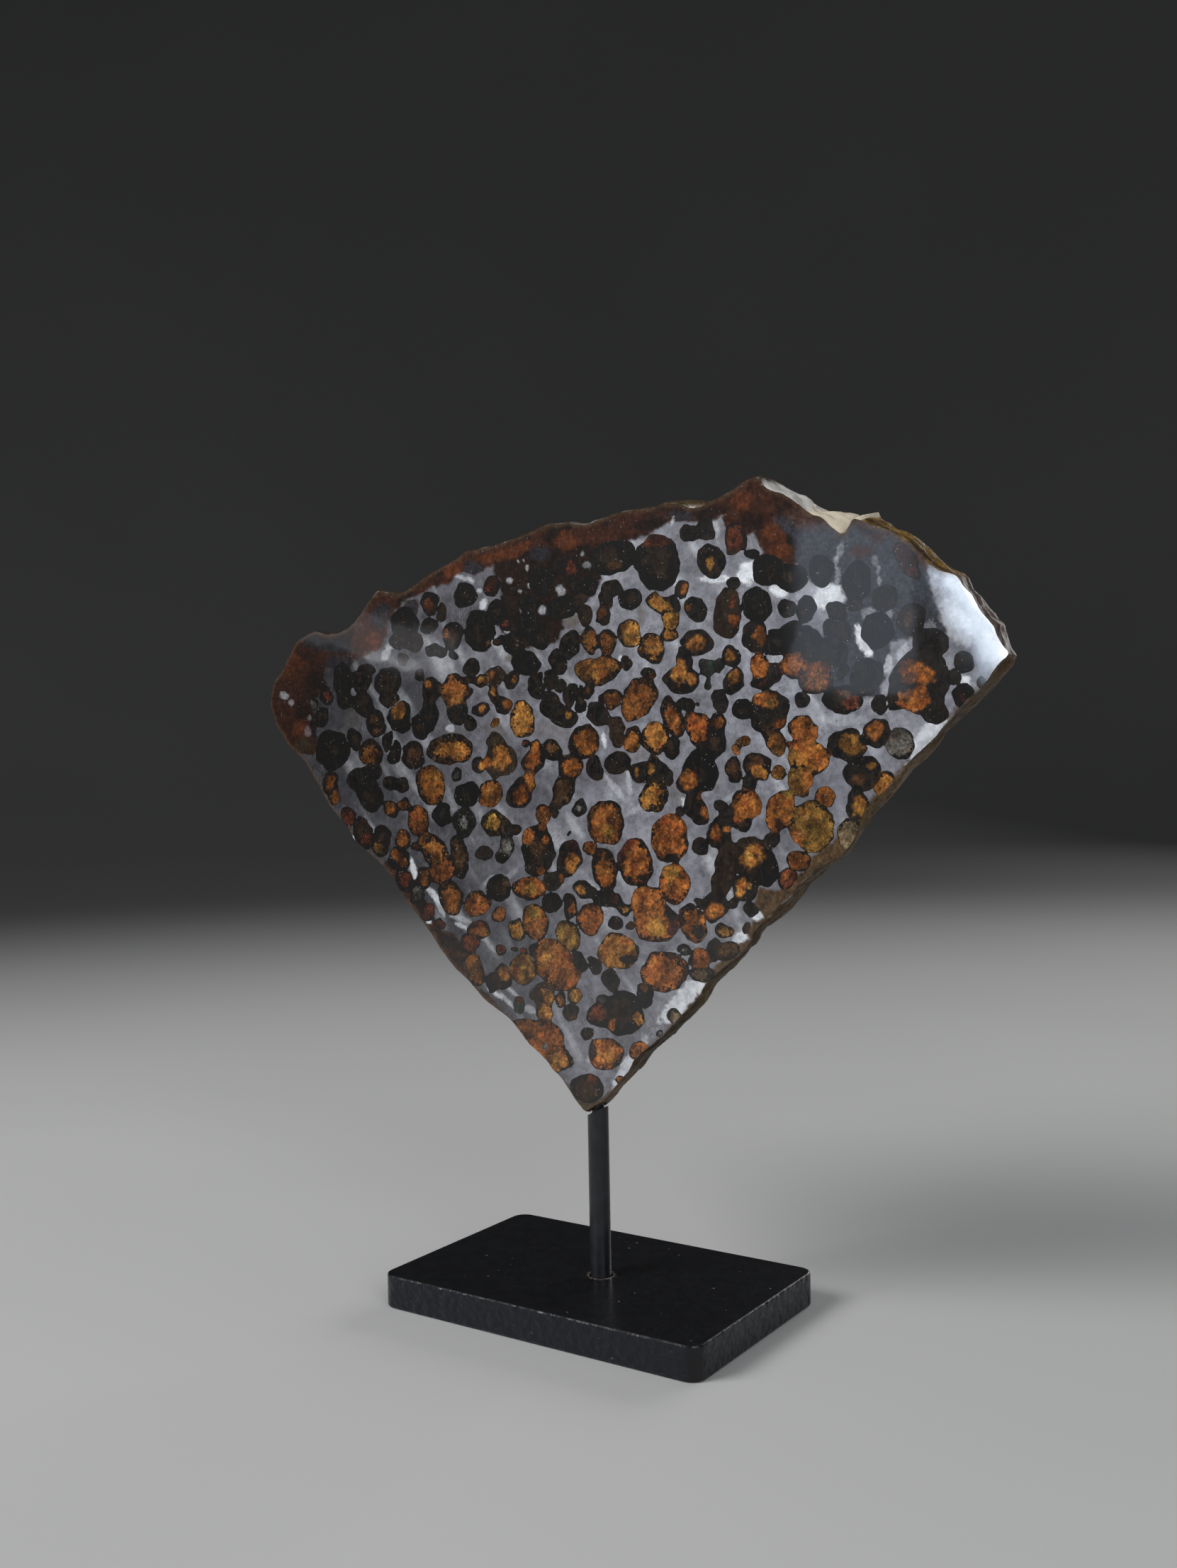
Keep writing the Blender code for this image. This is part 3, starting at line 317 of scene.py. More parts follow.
# Tones of the oxidised margin, and patches of them: pixel, half widths, tilt clockwise, tone
OXIDE_TONES = {
    "rust": (0.052, 0.0185, 0.010),
    "orange": (0.118, 0.034, 0.012),
    "dark": (0.015, 0.0095, 0.0075),
    "smoke": (0.026, 0.028, 0.035),
    # A hazy blue-grey tone, partly the crust's own and partly a painted reflection of the lacquer's veil
    "haze_and_painted_veil": (0.043, 0.047, 0.060),
    "pink": (0.080, 0.042, 0.032),
    "tan": (0.100, 0.057, 0.027),
    "olive": (0.058, 0.038, 0.018),
}
OXIDE_PATCHES = (
    (408, 935, 22, 26, 30, "orange"), (400, 985, 14, 30, 0, "rust"), (425, 1028, 12, 14, 0, "orange"),
    (527, 905, 14, 12, 0, "orange"), (508, 884, 8, 6, 0, "pink"), (460, 910, 40, 10, 10, "smoke"),
    (537, 868, 16, 18, 20, "smoke"), (480, 935, 22, 12, 0, "smoke"), (446, 960, 14, 16, 0, "dark"),
    (430, 1050, 14, 10, 0, "olive"), (580, 858, 12, 12, 0, "smoke"), (600, 822, 26, 9, -25, "rust"),
    (640, 802, 22, 10, -20, "orange"), (695, 786, 22, 8, -10, "orange"), (668, 800, 16, 10, 0, "smoke"),
    (730, 776, 26, 9, -20, "orange"), (762, 780, 18, 12, 0, "smoke"), (800, 764, 18, 14, 0, "orange"),
    (840, 756, 26, 10, -15, "rust"), (828, 776, 16, 8, 0, "dark"), (880, 742, 24, 12, -10, "rust"),
    (915, 738, 24, 9, -8, "dark"), (960, 728, 26, 9, 0, "smoke"), (1000, 722, 24, 10, -10, "dark"),
    (1048, 706, 18, 14, -20, "orange"), (1030, 732, 14, 10, 0, "rust"), (1078, 712, 16, 14, 30, "rust"),
    (1092, 752, 18, 14, 30, "orange"), (1064, 736, 18, 16, 0, "dark"), (1103, 776, 14, 12, 0, "orange"),
    # Hazy patches near the tip, partly a painted reflection of the lacquer's veil
    (1120, 745, 12, 30, -60, "haze_and_painted_veil"), (1136, 735, 30, 15, 30, "pink"), (1160, 760, 24, 18, 10, "haze_and_painted_veil"),
    (1200, 765, 22, 10, 0, "haze_and_painted_veil"), (1253, 800, 18, 40, 0, "haze_and_painted_veil"), (1290, 830, 16, 22, 0, "haze_and_painted_veil"),
    (1265, 775, 12, 10, 0, "haze_and_painted_veil"), (1214, 778, 15, 9, 0, "rust"), (1236, 758, 13, 7, 10, "rust"),
    (1222, 748, 14, 4, 20, "dark"),
)

# Painted highlights and glints on the metal, and faint stains on it: pixel, half widths, tilt clockwise,
# strength
PAINTED_HIGHLIGHTS = (
    (1055, 808, 15, 17, 20, 1.0), (1008, 816, 22, 6, 0, 0.9), (1100, 833, 13, 10, 0, 1.0),
    (1169, 842, 22, 19, -10, 1.0), (1219, 905, 9, 25, -24, 1.0), (1186, 776, 5, 13, 15, 0.22),
    (1180, 793, 3.5, 10, 0, 0.24), (1182, 813, 3.5, 15, 4, 0.28), (1235, 791, 5, 8, -20, 0.20),
    (1239, 805, 3, 8, 10, 0.22), (1241, 820, 3.5, 7, 0, 0.28),
    (1273, 921, 7, 15, 30, 0.4), (1253, 938, 6, 16, 15, 0.55), (1098, 932, 14, 13, 0, 0.4),
    (1190, 1015, 34, 9, 0, 0.25), (1310, 1042, 16, 42, 38, 0.8), (1226, 866, 11, 10, 0, 0.24),
    (1255, 865, 5, 7, 0, 0.24), (1363, 960, 7, 8, 0, 1.0), (1312, 883, 10, 9, 0, 0.24),
    (1338, 934, 8, 11, 0, 0.24), (1068, 1292, 8, 7, 0, 1.0),
    (1045, 1322, 12, 8, -30, 1.0), (965, 1408, 13, 50, 42, 0.9), (1350, 880, 36, 18, 60, 0.35),
    (888, 1500, 9, 44, 32, 0.8), (583, 1226, 4, 17, -12, 1.0), (612, 1262, 5, 17, -42, 0.9),
    (620, 1276, 5, 18, -25, 0.6), (604, 1299, 5, 4, 30, 1.0), (652, 1307, 13, 3, 25, 0.7),
    (672, 1318, 15, 3, 40, 0.5), (650, 1296, 16, 4, 15, 0.4), (688, 1330, 16, 3, 55, 0.3),
    (700, 1402, 14, 3, 35, 0.8), (716, 1412, 16, 3, 50, 0.6), (722, 1398, 18, 3, 40, 0.5),
    (748, 1424, 10, 5, 30, 0.4), (690, 1242, 12, 4, -50, 0.35), (722, 1232, 14, 4, -45, 0.25),
    (835, 1492, 12, 4, -40, 0.4),
    (905, 1138, 30, 14, 15, 0.12), (868, 1112, 5, 26, -38, 0.5), (888, 1106, 4, 20, -8, 0.45),
    (897, 1142, 4, 26, 60, 0.35), (1072, 1012, 6, 20, -30, 0.3), (1030, 1125, 14, 4, -30, 0.3),
    (1005, 1210, 6, 20, 20, 0.25), (545, 922, 6, 11, 20, 0.5), (551, 911, 9, 5, -20, 0.3),
    (500, 1183, 5, 5, 0, 1.0), (968, 1135, 5, 10, -25, 1.0),
    (876, 933, 3, 10, 0, 1.0), (852, 1042, 3, 14, -10, 1.0), (635, 1027, 6, 6, 0, 0.7),
    (766, 1075, 14, 12, 0, 0.2), (651, 815, 8, 3, 15, 0.5), (664, 818, 7, 3, 40, 0.5),
    (682, 852, 5, 9, 20, 0.7),
    (677, 833, 4, 3, 0, 0.6), (719, 819, 4.5, 4.5, 0, 0.4), (791, 833, 6, 8, -30, 0.4),
    (765, 860, 6, 7, 0, 0.4), (715, 889, 4, 5, -20, 0.5), (828, 797, 6, 5, 0, 0.3), (734, 834, 3, 2, 0, 0.5),
    (741, 843, 2, 2, 0, 0.5), (744, 866, 11, 2, 30, 0.5), (748, 826, 3, 3, 0, 0.5), (744, 801, 2, 4, 0, 0.5),
    (731, 792, 1.6, 1.6, 0, 0.5), (739, 791, 2, 1.6, 0, 0.5), (822, 781, 3, 3, 0, 0.4),
    (401, 981, 7, 5, 25, 0.25), (411, 991, 4, 4, 0, 0.25), (437, 1013, 3, 4, 0, 0.12),
    (434, 1032, 5, 8, 0, 0.10),
    (445, 992, 5, 8, 0, 0.10), (949, 734, 2, 7, 10, 0.4), (1010, 748, 6, 12, 0, 0.3),
)
STAINS = (
    (807, 876, 16, 12, 0, 0.7), (721, 929, 10, 6, 0, 0.7), (755, 918, 12, 6, 0, 0.5),
    (770, 1030, 40, 12, 10, 0.35),
    (810, 1060, 14, 30, 20, 0.3), (700, 1030, 22, 8, 10, 0.4), (960, 860, 10, 10, 0, 0.4),
    (905, 1065, 34, 10, 0, 0.4), (1010, 870, 6, 30, 0, 0.3), (880, 1320, 40, 8, 0, 0.2),
    (955, 1120, 12, 20, 0, 0.35), (1050, 1190, 8, 14, 0, 0.3), (905, 870, 6, 16, 0, 0.6),
    (1235, 920, 12, 18, 20, 0.5), (1262, 830, 8, 14, 0, 0.4), (500, 1010, 12, 30, 20, 0.3),
    (640, 1035, 26, 8, 0, 0.3), (1120, 770, 10, 20, 0, 0.3), (860, 1090, 30, 20, 0, 0.25),
    (570, 850, 12, 8, 0, 0.5), (1118, 895, 16, 12, 0, 0.3),
)

# How the light varies over the front face: its level at the left, then changes. The first is added and the
# others change the light by their share. Each holds where its ramps (axis, low, high) in pixels are all 1
X, Y = 0, 1
METAL_LIGHT = (
    0.42,
    (1.18, (X, 430.0, 880.0)),
    (-0.50, (Y, 1120.0, 1320.0), (X, 900.0, 680.0)),
    (-0.28, (Y, 920.0, 800.0), (X, 840.0, 920.0), (X, 1160.0, 1080.0)),
    (-0.15, (Y, 1060.0, 1140.0), (X, 1060.0, 1140.0)),
)
CRYSTAL_LIGHT = (
    0.45,
    (0.55, (X, 460.0, 740.0)),
    (-0.36, (Y, 1030.0, 890.0), (X, 980.0, 860.0)),
    (0.30, (X, 860.0, 950.0), (Y, 1180.0, 1300.0)),
    (-0.22, (X, 880.0, 760.0), (Y, 1160.0, 1290.0)),
)

# Tones of the rim, set along it at photograph pixels of its front edge
RIM_COLOURS = {
    "rust": (0.075, 0.028, 0.013),
    "umber": (0.034, 0.021, 0.013),
    "brown": (0.060, 0.036, 0.018),
    "olive": (0.078, 0.051, 0.021),
    "tan": (0.125, 0.078, 0.037),
    "ochre": (0.215, 0.125, 0.030),
    "layered": (0.125, 0.090, 0.074),
    "grey": (0.130, 0.120, 0.108),
    "white": (0.680, 0.660, 0.620),
    "cream": (0.800, 0.700, 0.540),
}
RIM_TONES = (
    ((383, 993), "rust"), ((404, 935), "rust"), ((445, 892), "umber"), ((499, 880), "rust"),
    ((534, 836), "brown"), ((579, 831), "olive"), ((635, 795), "brown"), ((691, 772), "umber"),
    ((768, 743), "brown"), ((839, 737), "grey"), ((906, 720), "brown"), ((973, 717), "olive"),
    ((1031, 694), "brown"), ((1069, 675), "brown"), ((1079, 687), "white"), ((1133, 718), "white"),
    ((1144, 726), "cream"), ((1203, 741), "cream"), ((1212, 737), "ochre"), ((1278, 764), "ochre"),
    ((1326, 806), "ochre"), ((1352, 822), "layered"), ((1414, 911), "layered"), ((1425, 930), "olive"),
    ((1347, 1007), "brown"), ((1303, 1055), "olive"), ((1263, 1098), "tan"), ((1213, 1162), "olive"),
    ((1167, 1218), "brown"), ((1114, 1266), "olive"), ((1039, 1350), "brown"), ((988, 1403), "olive"),
    ((917, 1477), "umber"), ((861, 1543), "tan"), ((827, 1567), "brown"), ((790, 1518), "tan"),
    ((746, 1471), "rust"), ((706, 1427), "grey"), ((662, 1384), "umber"), ((606, 1313), "umber"),
    ((577, 1275), "brown"), ((541, 1222), "grey"), ((498, 1181), "grey"), ((458, 1123), "rust"),
    ((410, 1055), "brown"), ((391, 1023), "rust"),
)


# Noise and small field helpers

CORNERS = tuple((i, j, k) for i in (0, 1) for j in (0, 1) for k in (0, 1))
PRIMES = (73856093, 19349663, 83492791)
SEED_PRIME = 15485863
SCRAMBLES = ((13, 1274126177), (16, 668265263))
KEY_BITS = 0x7FFFFFFF
TINY = 1e-9


def bumps(places, size, seed=0):
    """Smooth gradient noise from about -1 to 1, with bumps about one size across."""
    keys, parts, fades = [], [], []
    for axis, prime in enumerate(PRIMES):
        scaled = places[:, axis] / size + 31.7 * (seed + 1)
        cell = np.floor(scaled)
        part = scaled - cell
        fade = part * part * part * (part * (part * 6.0 - 15.0) + 10.0)
        cell = cell.astype(np.int64) * prime
        keys.append((cell, cell + prime))
        parts.append((part, part - 1.0))
        fades.append((1.0 - fade, fade))
    total = np.zeros(len(places))
    for i, j, k in CORNERS:
        key = (keys[0][i] + keys[1][j] + keys[2][k] + seed * SEED_PRIME) & KEY_BITS
        for shift, factor in SCRAMBLES:
            key = ((key ^ (key >> shift)) * factor) & KEY_BITS
        rise = ((key & 1023) / 511.5 - 1.0) * parts[0][i]
        rise += ((key >> 10 & 1023) / 511.5 - 1.0) * parts[1][j]
        rise += ((key >> 20 & 1023) / 511.5 - 1.0) * parts[2][k]
        total += rise * fades[0][i] * fades[1][j] * fades[2][k]
    return total * 1.5


def layers(places, size, seed=0, octaves=3):
    """Noise with finer and weaker octaves on top."""
    return sum(bumps(places, size / 2 ** k, seed + 7 * k) / 2 ** k for k in range(octaves))


def ease(value, low, high):
    """0 below low, 1 above high, and a soft step between. High may be the lower one."""
    share = np.clip((value - low) / (high - low), 0.0, 1.0)
    return share * share * (3.0 - 2.0 * share)


def blend(base, other, share):
    """From the base colours towards the other by each point's share."""
    return base + (np.asarray(other) - base) * share[:, None]


def filled(colour, count):
    """The colour for this many points."""
    return np.repeat(np.array(colour)[None, :], count, 0)


def clouded(tone, places, *clouds):
    """The tone with clouds over it, each a colour, strength, size, seed and the noise where it sets in."""
    for colour, strength, size, seed, low, high in clouds:
        tone = blend(tone, colour, strength * ease(layers(places, size, seed), low, high))
    return tone


def lit(pixels, level, *changes):
    """The light on each pixel of the front face."""
    parts = []
    for part, *ramps in changes:
        for axis, low, high in ramps:
            part = part * ease(pixels[:, axis], low, high)
        parts.append(part)
    light = level + parts[0]
    for part in parts[1:]:
        light *= 1.0 + part
    return light


def flat3(pixels):
    """Pixels or flat points as points for the noise."""
    return np.column_stack([pixels, np.zeros(len(pixels))])


def upright(flat, plane_y):
    """Flat points (x, z) in space, on the upright plane at this y."""
    return np.column_stack([flat[:, 0], np.full(len(flat), plane_y), flat[:, 1]])


def ellipse_place(pixels, spot):
    """Each pixel's place along and across the tilted ellipse, in half widths."""
    x, y, half_x, half_y, tilt = spot[:5]
    turn = math.radians(tilt)
    dx, dy = pixels[:, 0] - x, pixels[:, 1] - y
    along = (dx * math.cos(turn) + dy * math.sin(turn)) / half_x
    across = (dy * math.cos(turn) - dx * math.sin(turn)) / half_y
    return along, across


def ellipse_radius(pixels, spot):
    """1 on the ellipse's edge, less inside."""
    return np.hypot(*ellipse_place(pixels, spot))


def ellipse_share(pixels, spot, rag, low, high):
    """1 inside the ellipse made ragged, 0 outside, with a soft step from radius low to high."""
    return 1.0 - ease(ellipse_radius(pixels, spot) + rag, low, high)


def ellipse_distance(pixels, spot):
    """About the distance to the ellipse's edge in pixels, negative inside."""
    along, across = ellipse_place(pixels, spot)
    half_x, half_y = spot[2:4]
    radius = np.hypot(along, across)
    slope = np.hypot(along / half_x, across / half_y)
    return np.where(slope > TINY, radius * (radius - 1.0) / np.maximum(slope, TINY), -min(half_x, half_y))


def polygon_distance(points, loop):
    """The distance from each point to a closed polygon, negative inside."""
    loop = np.asarray(loop, float)
    nearest = np.full(len(points), np.inf)
    inside = np.zeros(len(points), bool)
    for start, end in zip(loop, np.roll(loop, -1, 0)):
        side = end - start
        away = points - start
        share = np.clip((away @ side) / (side @ side), 0.0, 1.0)
        gap = away - share[:, None] * side
        nearest = np.minimum(nearest, (gap * gap).sum(1))
        crosses = (start[1] > points[:, 1]) != (end[1] > points[:, 1])
        height = side[1] if side[1] else TINY
        inside ^= crosses & (away[:, 0] < away[:, 1] * side[0] / height)
    return np.sqrt(nearest) * np.where(inside, -1.0, 1.0)


# The photograph's view of the slice's plane

def eye_axes():
    """The photograph's axes in this frame: rightwards, downwards and forwards."""
    forward_level = Vector((-math.sin(EYE_AZIMUTH), math.cos(EYE_AZIMUTH), 0.0))
    right_level = Vector((math.cos(EYE_AZIMUTH), math.sin(EYE_AZIMUTH), 0.0))
    up = Vector((0.0, 0.0, 1.0))
    forward = forward_level * math.cos(EYE_PITCH) - up * math.sin(EYE_PITCH)
    down_level = -(up * math.cos(EYE_PITCH) + forward_level * math.sin(EYE_PITCH))
    right = right_level * math.cos(EYE_ROLL) + down_level * math.sin(EYE_ROLL)
    down = down_level * math.cos(EYE_ROLL) - right_level * math.sin(EYE_ROLL)
    return right, down, forward


def to_pixels(flat, plane_y):
    """Photograph pixels of points (x, z) on the upright plane at this y."""
    right, down, forward = eye_axes()
    away = upright(flat, plane_y) - np.array(EYE)
    depth = away @ np.array(forward)
    x = PHOTO_CENTRE[0] + PHOTO_FOCAL * (away @ np.array(right)) / depth
    y = PHOTO_CENTRE[1] + PHOTO_FOCAL * (away @ np.array(down)) / depth
    return np.column_stack([x, y])


def pixel_ray(pixel):
    """The way from the eye through a photograph pixel."""
    right, down, forward = eye_axes()
    across = (pixel[0] - PHOTO_CENTRE[0]) / PHOTO_FOCAL
    below = (pixel[1] - PHOTO_CENTRE[1]) / PHOTO_FOCAL
    return right * across + down * below + forward


def on_plane(pixel, plane_y):
    """Where a photograph pixel meets the upright plane at this y, as (x, z)."""
    ray = pixel_ray(pixel)
    hit = EYE + ray * ((plane_y - EYE.y) / ray.y)
    return hit.x, hit.z


# Outlines of the slice's faces, and the sizes of the small breaks along them

EDGE_BREAKS = ((0.10 * MM, 2.2 * MM), (0.07 * MM, 0.9 * MM))


def walk(follow, start):
    """The closed chain from start, each one followed by its next."""
    chain = [start]
    while follow[chain[-1]] != start:
        chain.append(follow[chain[-1]])
    return chain


def face_loop(thing, plane_y):
    """The outline of the flat face at this y as ordered points (x, z)."""
    spots = {}
    names = []
    for vertex in thing.data.vertices:
        key = tuple(round(c / (0.001 * MM)) for c in vertex.co)
        names.append(key)
        spots[key] = (vertex.co.x, vertex.co.z)
    uses = {}
    for face in thing.data.polygons:
        if all(abs(thing.data.vertices[v].co.y - plane_y) < 0.002 * MM for v in face.vertices):
            corners = [names[v] for v in face.vertices]
            for a, b in zip(corners, corners[1:] + corners[:1]):
                uses.setdefault(frozenset((a, b)), []).append((a, b))
    follow = dict(sides[0] for sides in uses.values() if len(sides) == 1)
    start = min(follow, key=lambda key: spots[key][0])
    return np.array([spots[key] for key in walk(follow, start)])


def smooth_loop(loop, step):
    """A smooth closed curve through the points, with steps no longer than this."""
    fine = []
    count = len(loop)
    for i in range(count):
        before, start, end, after = (loop[(i + k) % count] for k in (-1, 0, 1, 2))
        pieces = max(1, math.ceil(math.dist(start, end) / step))
        for t in np.arange(pieces) / pieces:
            bend = (end - before) * t + (2.0 * before - 5.0 * start + 4.0 * end - after) * t ** 2
            bend = bend + (3.0 * start - before - 3.0 * end + after) * t ** 3
            fine.append(start + 0.5 * bend)
    return np.array(fine)


def outward(loop):
    """Unit normals of a closed loop, pointing away from its middle."""
    side = np.roll(loop, -1, 0) - np.roll(loop, 1, 0)
    normal = np.column_stack([side[:, 1], -side[:, 0]])
    normal /= np.linalg.norm(normal, axis=1)[:, None]
    if (normal * (loop - loop.mean(0))).sum() < 0:
        normal = -normal
    return normal


def rough_loop(loop, seed):
    """The outline with the small breaks of a natural edge."""
    step = sum(amount * bumps(flat3(loop), size, seed + k) for k, (amount, size) in enumerate(EDGE_BREAKS))
    return loop + outward(loop) * step[:, None]


# Sheets of triangles cut along outlines

def lattice(loop, step):
    """An even sheet of triangles over the loop's box."""
    low, high = loop.min(0) - 2 * step, loop.max(0) + 2 * step
    rise = step * math.sqrt(3) / 2
    columns = int((high[0] - low[0]) / step) + 2
    rows = int((high[1] - low[1]) / rise) + 2
    row, column = np.mgrid[0:rows, 0:columns]
    x = low[0] + (column + 0.5 * (row % 2)) * step
    points = np.column_stack([x.ravel(), (low[1] + row * rise).ravel()])
    index = np.arange(rows * columns).reshape(rows, columns)
    a, b = index[:-1, :-1], index[:-1, 1:]
    c, d = index[1:, :-1], index[1:, 1:]
    odd = (np.arange(rows - 1) % 2 == 1)[:, None] & np.ones((1, columns - 1), bool)
    first = np.where(odd[..., None], np.stack([a, b, d], -1), np.stack([a, b, c], -1))
    second = np.where(odd[..., None], np.stack([a, d, c], -1), np.stack([b, d, c], -1))
    return points, np.concatenate([first.reshape(-1, 3), second.reshape(-1, 3)])


def sides_of(triangles):
    """The three sides of every triangle as pairs of point numbers."""
    return np.concatenate([triangles[:, [0, 1]], triangles[:, [1, 2]], triangles[:, [2, 0]]])


def crossings(points, sides, value):
    """The sides on which value changes sign, with the share of each side and the point where it does."""
    crossed = sides[value[sides[:, 0]] * value[sides[:, 1]] < 0]
    share = value[crossed[:, 0]] / (value[crossed[:, 0]] - value[crossed[:, 1]])
    spot = points[crossed[:, 0]] + share[:, None] * (points[crossed[:, 1]] - points[crossed[:, 0]])
    return crossed, share, spot


def cut(points, triangles, value, fixed=None):
    """Split the sheet where value changes sign: near points move onto the line, other sides are cut.
    Returns the points, the triangles and which triangles lie on the negative side."""
    points, value = points.copy(), value.copy()
    sides = np.unique(np.sort(sides_of(triangles), 1), axis=0)
    crossed, share, spot = crossings(points, sides, value)
    reach = np.concatenate([share, 1.0 - share])
    mover = np.concatenate([crossed[:, 0], crossed[:, 1]])
    target = np.concatenate([spot, spot])
    near = reach < SNAP
    if fixed is not None:
        near &= ~fixed[mover]
    order = np.argsort(-reach[near], kind="stable")
    points[mover[near][order]] = target[near][order]
    value[mover[near]] = 0.0

    crossed, _, spot = crossings(points, sides, value)
    count = len(points)
    keys = crossed[:, 0] * count + crossed[:, 1]
    points = np.concatenate([points, spot])
    value = np.concatenate([value, np.zeros(len(spot))])

    def cut_point(a, b):
        return count + np.searchsorted(keys, np.minimum(a, b) * count + np.maximum(a, b))

    sign = np.sign(value[triangles]).astype(int)
    low, high, level = (sign == -1).sum(1), (sign == 1).sum(1), (sign == 0).sum(1)
    whole = (low == 0) | (high == 0)
    pieces = [triangles[whole]]

    halves = np.nonzero(~whole & (level == 1))[0]
    turn = np.argmax(sign[halves] == 0, 1)
    z, b, c = (triangles[halves, (turn + k) % 3] for k in range(3))
    p = cut_point(b, c)
    pieces += [np.stack([z, b, p], 1), np.stack([z, p, c], 1)]

    thirds = np.nonzero(~whole & (level == 0))[0]
    lone = np.where(low[thirds] == 1, -1, 1)
    turn = np.argmax(sign[thirds] == lone[:, None], 1)
    a, b, c = (triangles[thirds, (turn + k) % 3] for k in range(3))
    p, q = cut_point(a, b), cut_point(a, c)
    pieces += [np.stack([a, p, q], 1), np.stack([p, b, c], 1), np.stack([p, c, q], 1)]

    triangles = np.concatenate(pieces)
    return points, triangles, value[triangles].min(1) < 0


def used_only(points, triangles):
    """The sheet without the points that no triangle uses."""
    used, renamed = np.unique(triangles, return_inverse=True)
    return points[used], renamed.reshape(-1, 3)


def border_loop(triangles, points):
    """The sheet's outer border as ordered point numbers."""
    sides = sides_of(triangles)
    _, first, counts = np.unique(np.sort(sides, 1), axis=0, return_index=True, return_counts=True)
    follow = {int(a): int(b) for a, b in sides[first[counts == 1]]}
    return np.array(walk(follow, min(follow, key=lambda v: points[v][0])))


# Crystals, with sizes in pixels: the metal between two that don't melt together, how softly others melt,
# how far round a crystal its field counts, the field beyond, and the shifts that make outlines irregular

CRYSTAL_GAP = 1.5
MELT = 6.0
FIELD_MARGIN = 10.0
FAR = 60.0
WOBBLES = ((4.8, 27.0), (2.2, 12.0), (0.8, 4.5))

# How sharply a clear core ends, and how many pixels inwards a crystal's outline fades out
CORE_SLOPE = 1.8
OUTLINE_REACH = 8.0


def wobbled(pixels):
    """The pixels shifted by a small smooth noise, which makes round outlines irregular."""
    places = flat3(pixels)
    shift = np.zeros((len(pixels), 2))
    for number, (amount, size) in enumerate(WOBBLES):
        shift[:, 0] += amount * bumps(places, size, 40 + 2 * number)
        shift[:, 1] += amount * bumps(places, size, 41 + 2 * number)
    return pixels + shift


def crystal_field(pixels, crystals):
    """The nearest two crystals of each point, the distances to them, and the union's own field."""
    places = wobbled(pixels)
    near_one, near_two = np.full(len(pixels), FAR), np.full(len(pixels), FAR)
    one, two = np.zeros(len(pixels), int), np.zeros(len(pixels), int)
    for number, crystal in enumerate(crystals):
        reach = max(crystal[2:4]) + FIELD_MARGIN
        close = np.nonzero((abs(places - crystal[:2]) < reach).all(1))[0]
        distance = ellipse_distance(places[close], crystal)
        first = distance < near_one[close]
        second = ~first & (distance < near_two[close])
        moved = close[first]
        near_two[moved], two[moved] = near_one[moved], one[moved]
        near_one[moved], one[moved] = distance[first], number
        near_two[close[second]], two[close[second]] = distance[second], number
    melts = np.array([crystal[5].endswith("+") for crystal in crystals])
    both = melts[one] & melts[two] & (near_two < FAR)
    share = np.clip(0.5 + 0.5 * (near_two - near_one) / MELT, 0.0, 1.0)
    melted = near_two + (near_one - near_two) * share - MELT * share * (1.0 - share)
    parted = np.maximum(near_one, 0.5 * (CRYSTAL_GAP - (near_two - near_one)))
    field = np.where(both, melted, parted)
    return field, one, two, near_one, near_two


def paint_crystals(pixels, crystals, patches):
    """The body colour of each point, and three shares from 0 to 1: how far it is inside the crystal's
    clear core, with 0.5 at the core's edge, how close it is to the crystal's outline, and its sparkle,
    which sets where painted golden glints show."""
    rng = np.random.default_rng(5)
    shifts = 1.0 + rng.uniform(-0.22, 0.22, (len(crystals), 1))
    shifts = shifts + rng.uniform(-0.06, 0.06, (len(crystals), 3))
    leans = rng.uniform(-0.15, 0.15, (len(crystals), 2))
    field, one, two, near_one, near_two = crystal_field(pixels, crystals)
    places = flat3(pixels)
    warped = wobbled(pixels)
    tone, core = np.zeros((len(pixels), 3)), np.zeros(len(pixels))
    ragged = 0.22 * bumps(places, 9.0, 60)
    lean = 0.5 * (1.0 - ease(near_two - near_one, 0.0, 5.0))
    for number, crystal in enumerate(crystals):
        body = np.array(COLOURS[crystal[5][0]]) * shifts[number]
        share = int(crystal[5][1]) / 10.0
        for chosen, weight in ((one, 1.0 - lean), (two, lean)):
            mine = np.nonzero(chosen == number)[0]
            radius = ellipse_radius(warped[mine] - leans[number] * crystal[2:4], crystal) + ragged[mine]
            depth = np.clip(0.5 + CORE_SLOPE * (share + 0.06 - radius), 0.0, 1.0) if share else 1.0
            tone[mine] += body * weight[mine, None]
            core[mine] += depth * weight[mine]
    for patch in patches:
        close = np.nonzero(ellipse_radius(warped, patch) < 1.8)[0]
        radius = ellipse_radius(warped[close], patch) + 0.28 * bumps(places[close], 7.0, 62)
        share = 1.0 - ease(radius + 0.14 * bumps(places[close], 3.5, 63), 0.74, 1.06)
        tone[close] = blend(tone[close], COLOURS[patch[5]], share)
        core[close] = np.maximum(core[close], share)
    cloud = layers(places, 12.0, 64)
    tone *= (1.0 + 0.38 * cloud)[:, None]
    gold = ease(cloud, 0.15, 0.9)[:, None] * ease(tone[:, 0], 0.08, 0.3)[:, None]
    tone = tone * (1.0 + gold * np.array((0.2, 0.5, 0.5)))
    sparkle = ease(tone.max(1), 0.015, 0.22) * core
    return np.clip(tone, DARKEST, 0.9), core, np.clip(1.0 + field / OUTLINE_REACH, 0.0, 1.0), sparkle


# The metal and its oxidised margin, the colour of its painted highlights and sheen, and the axes across
# and along the faint streaks of its painted sheen

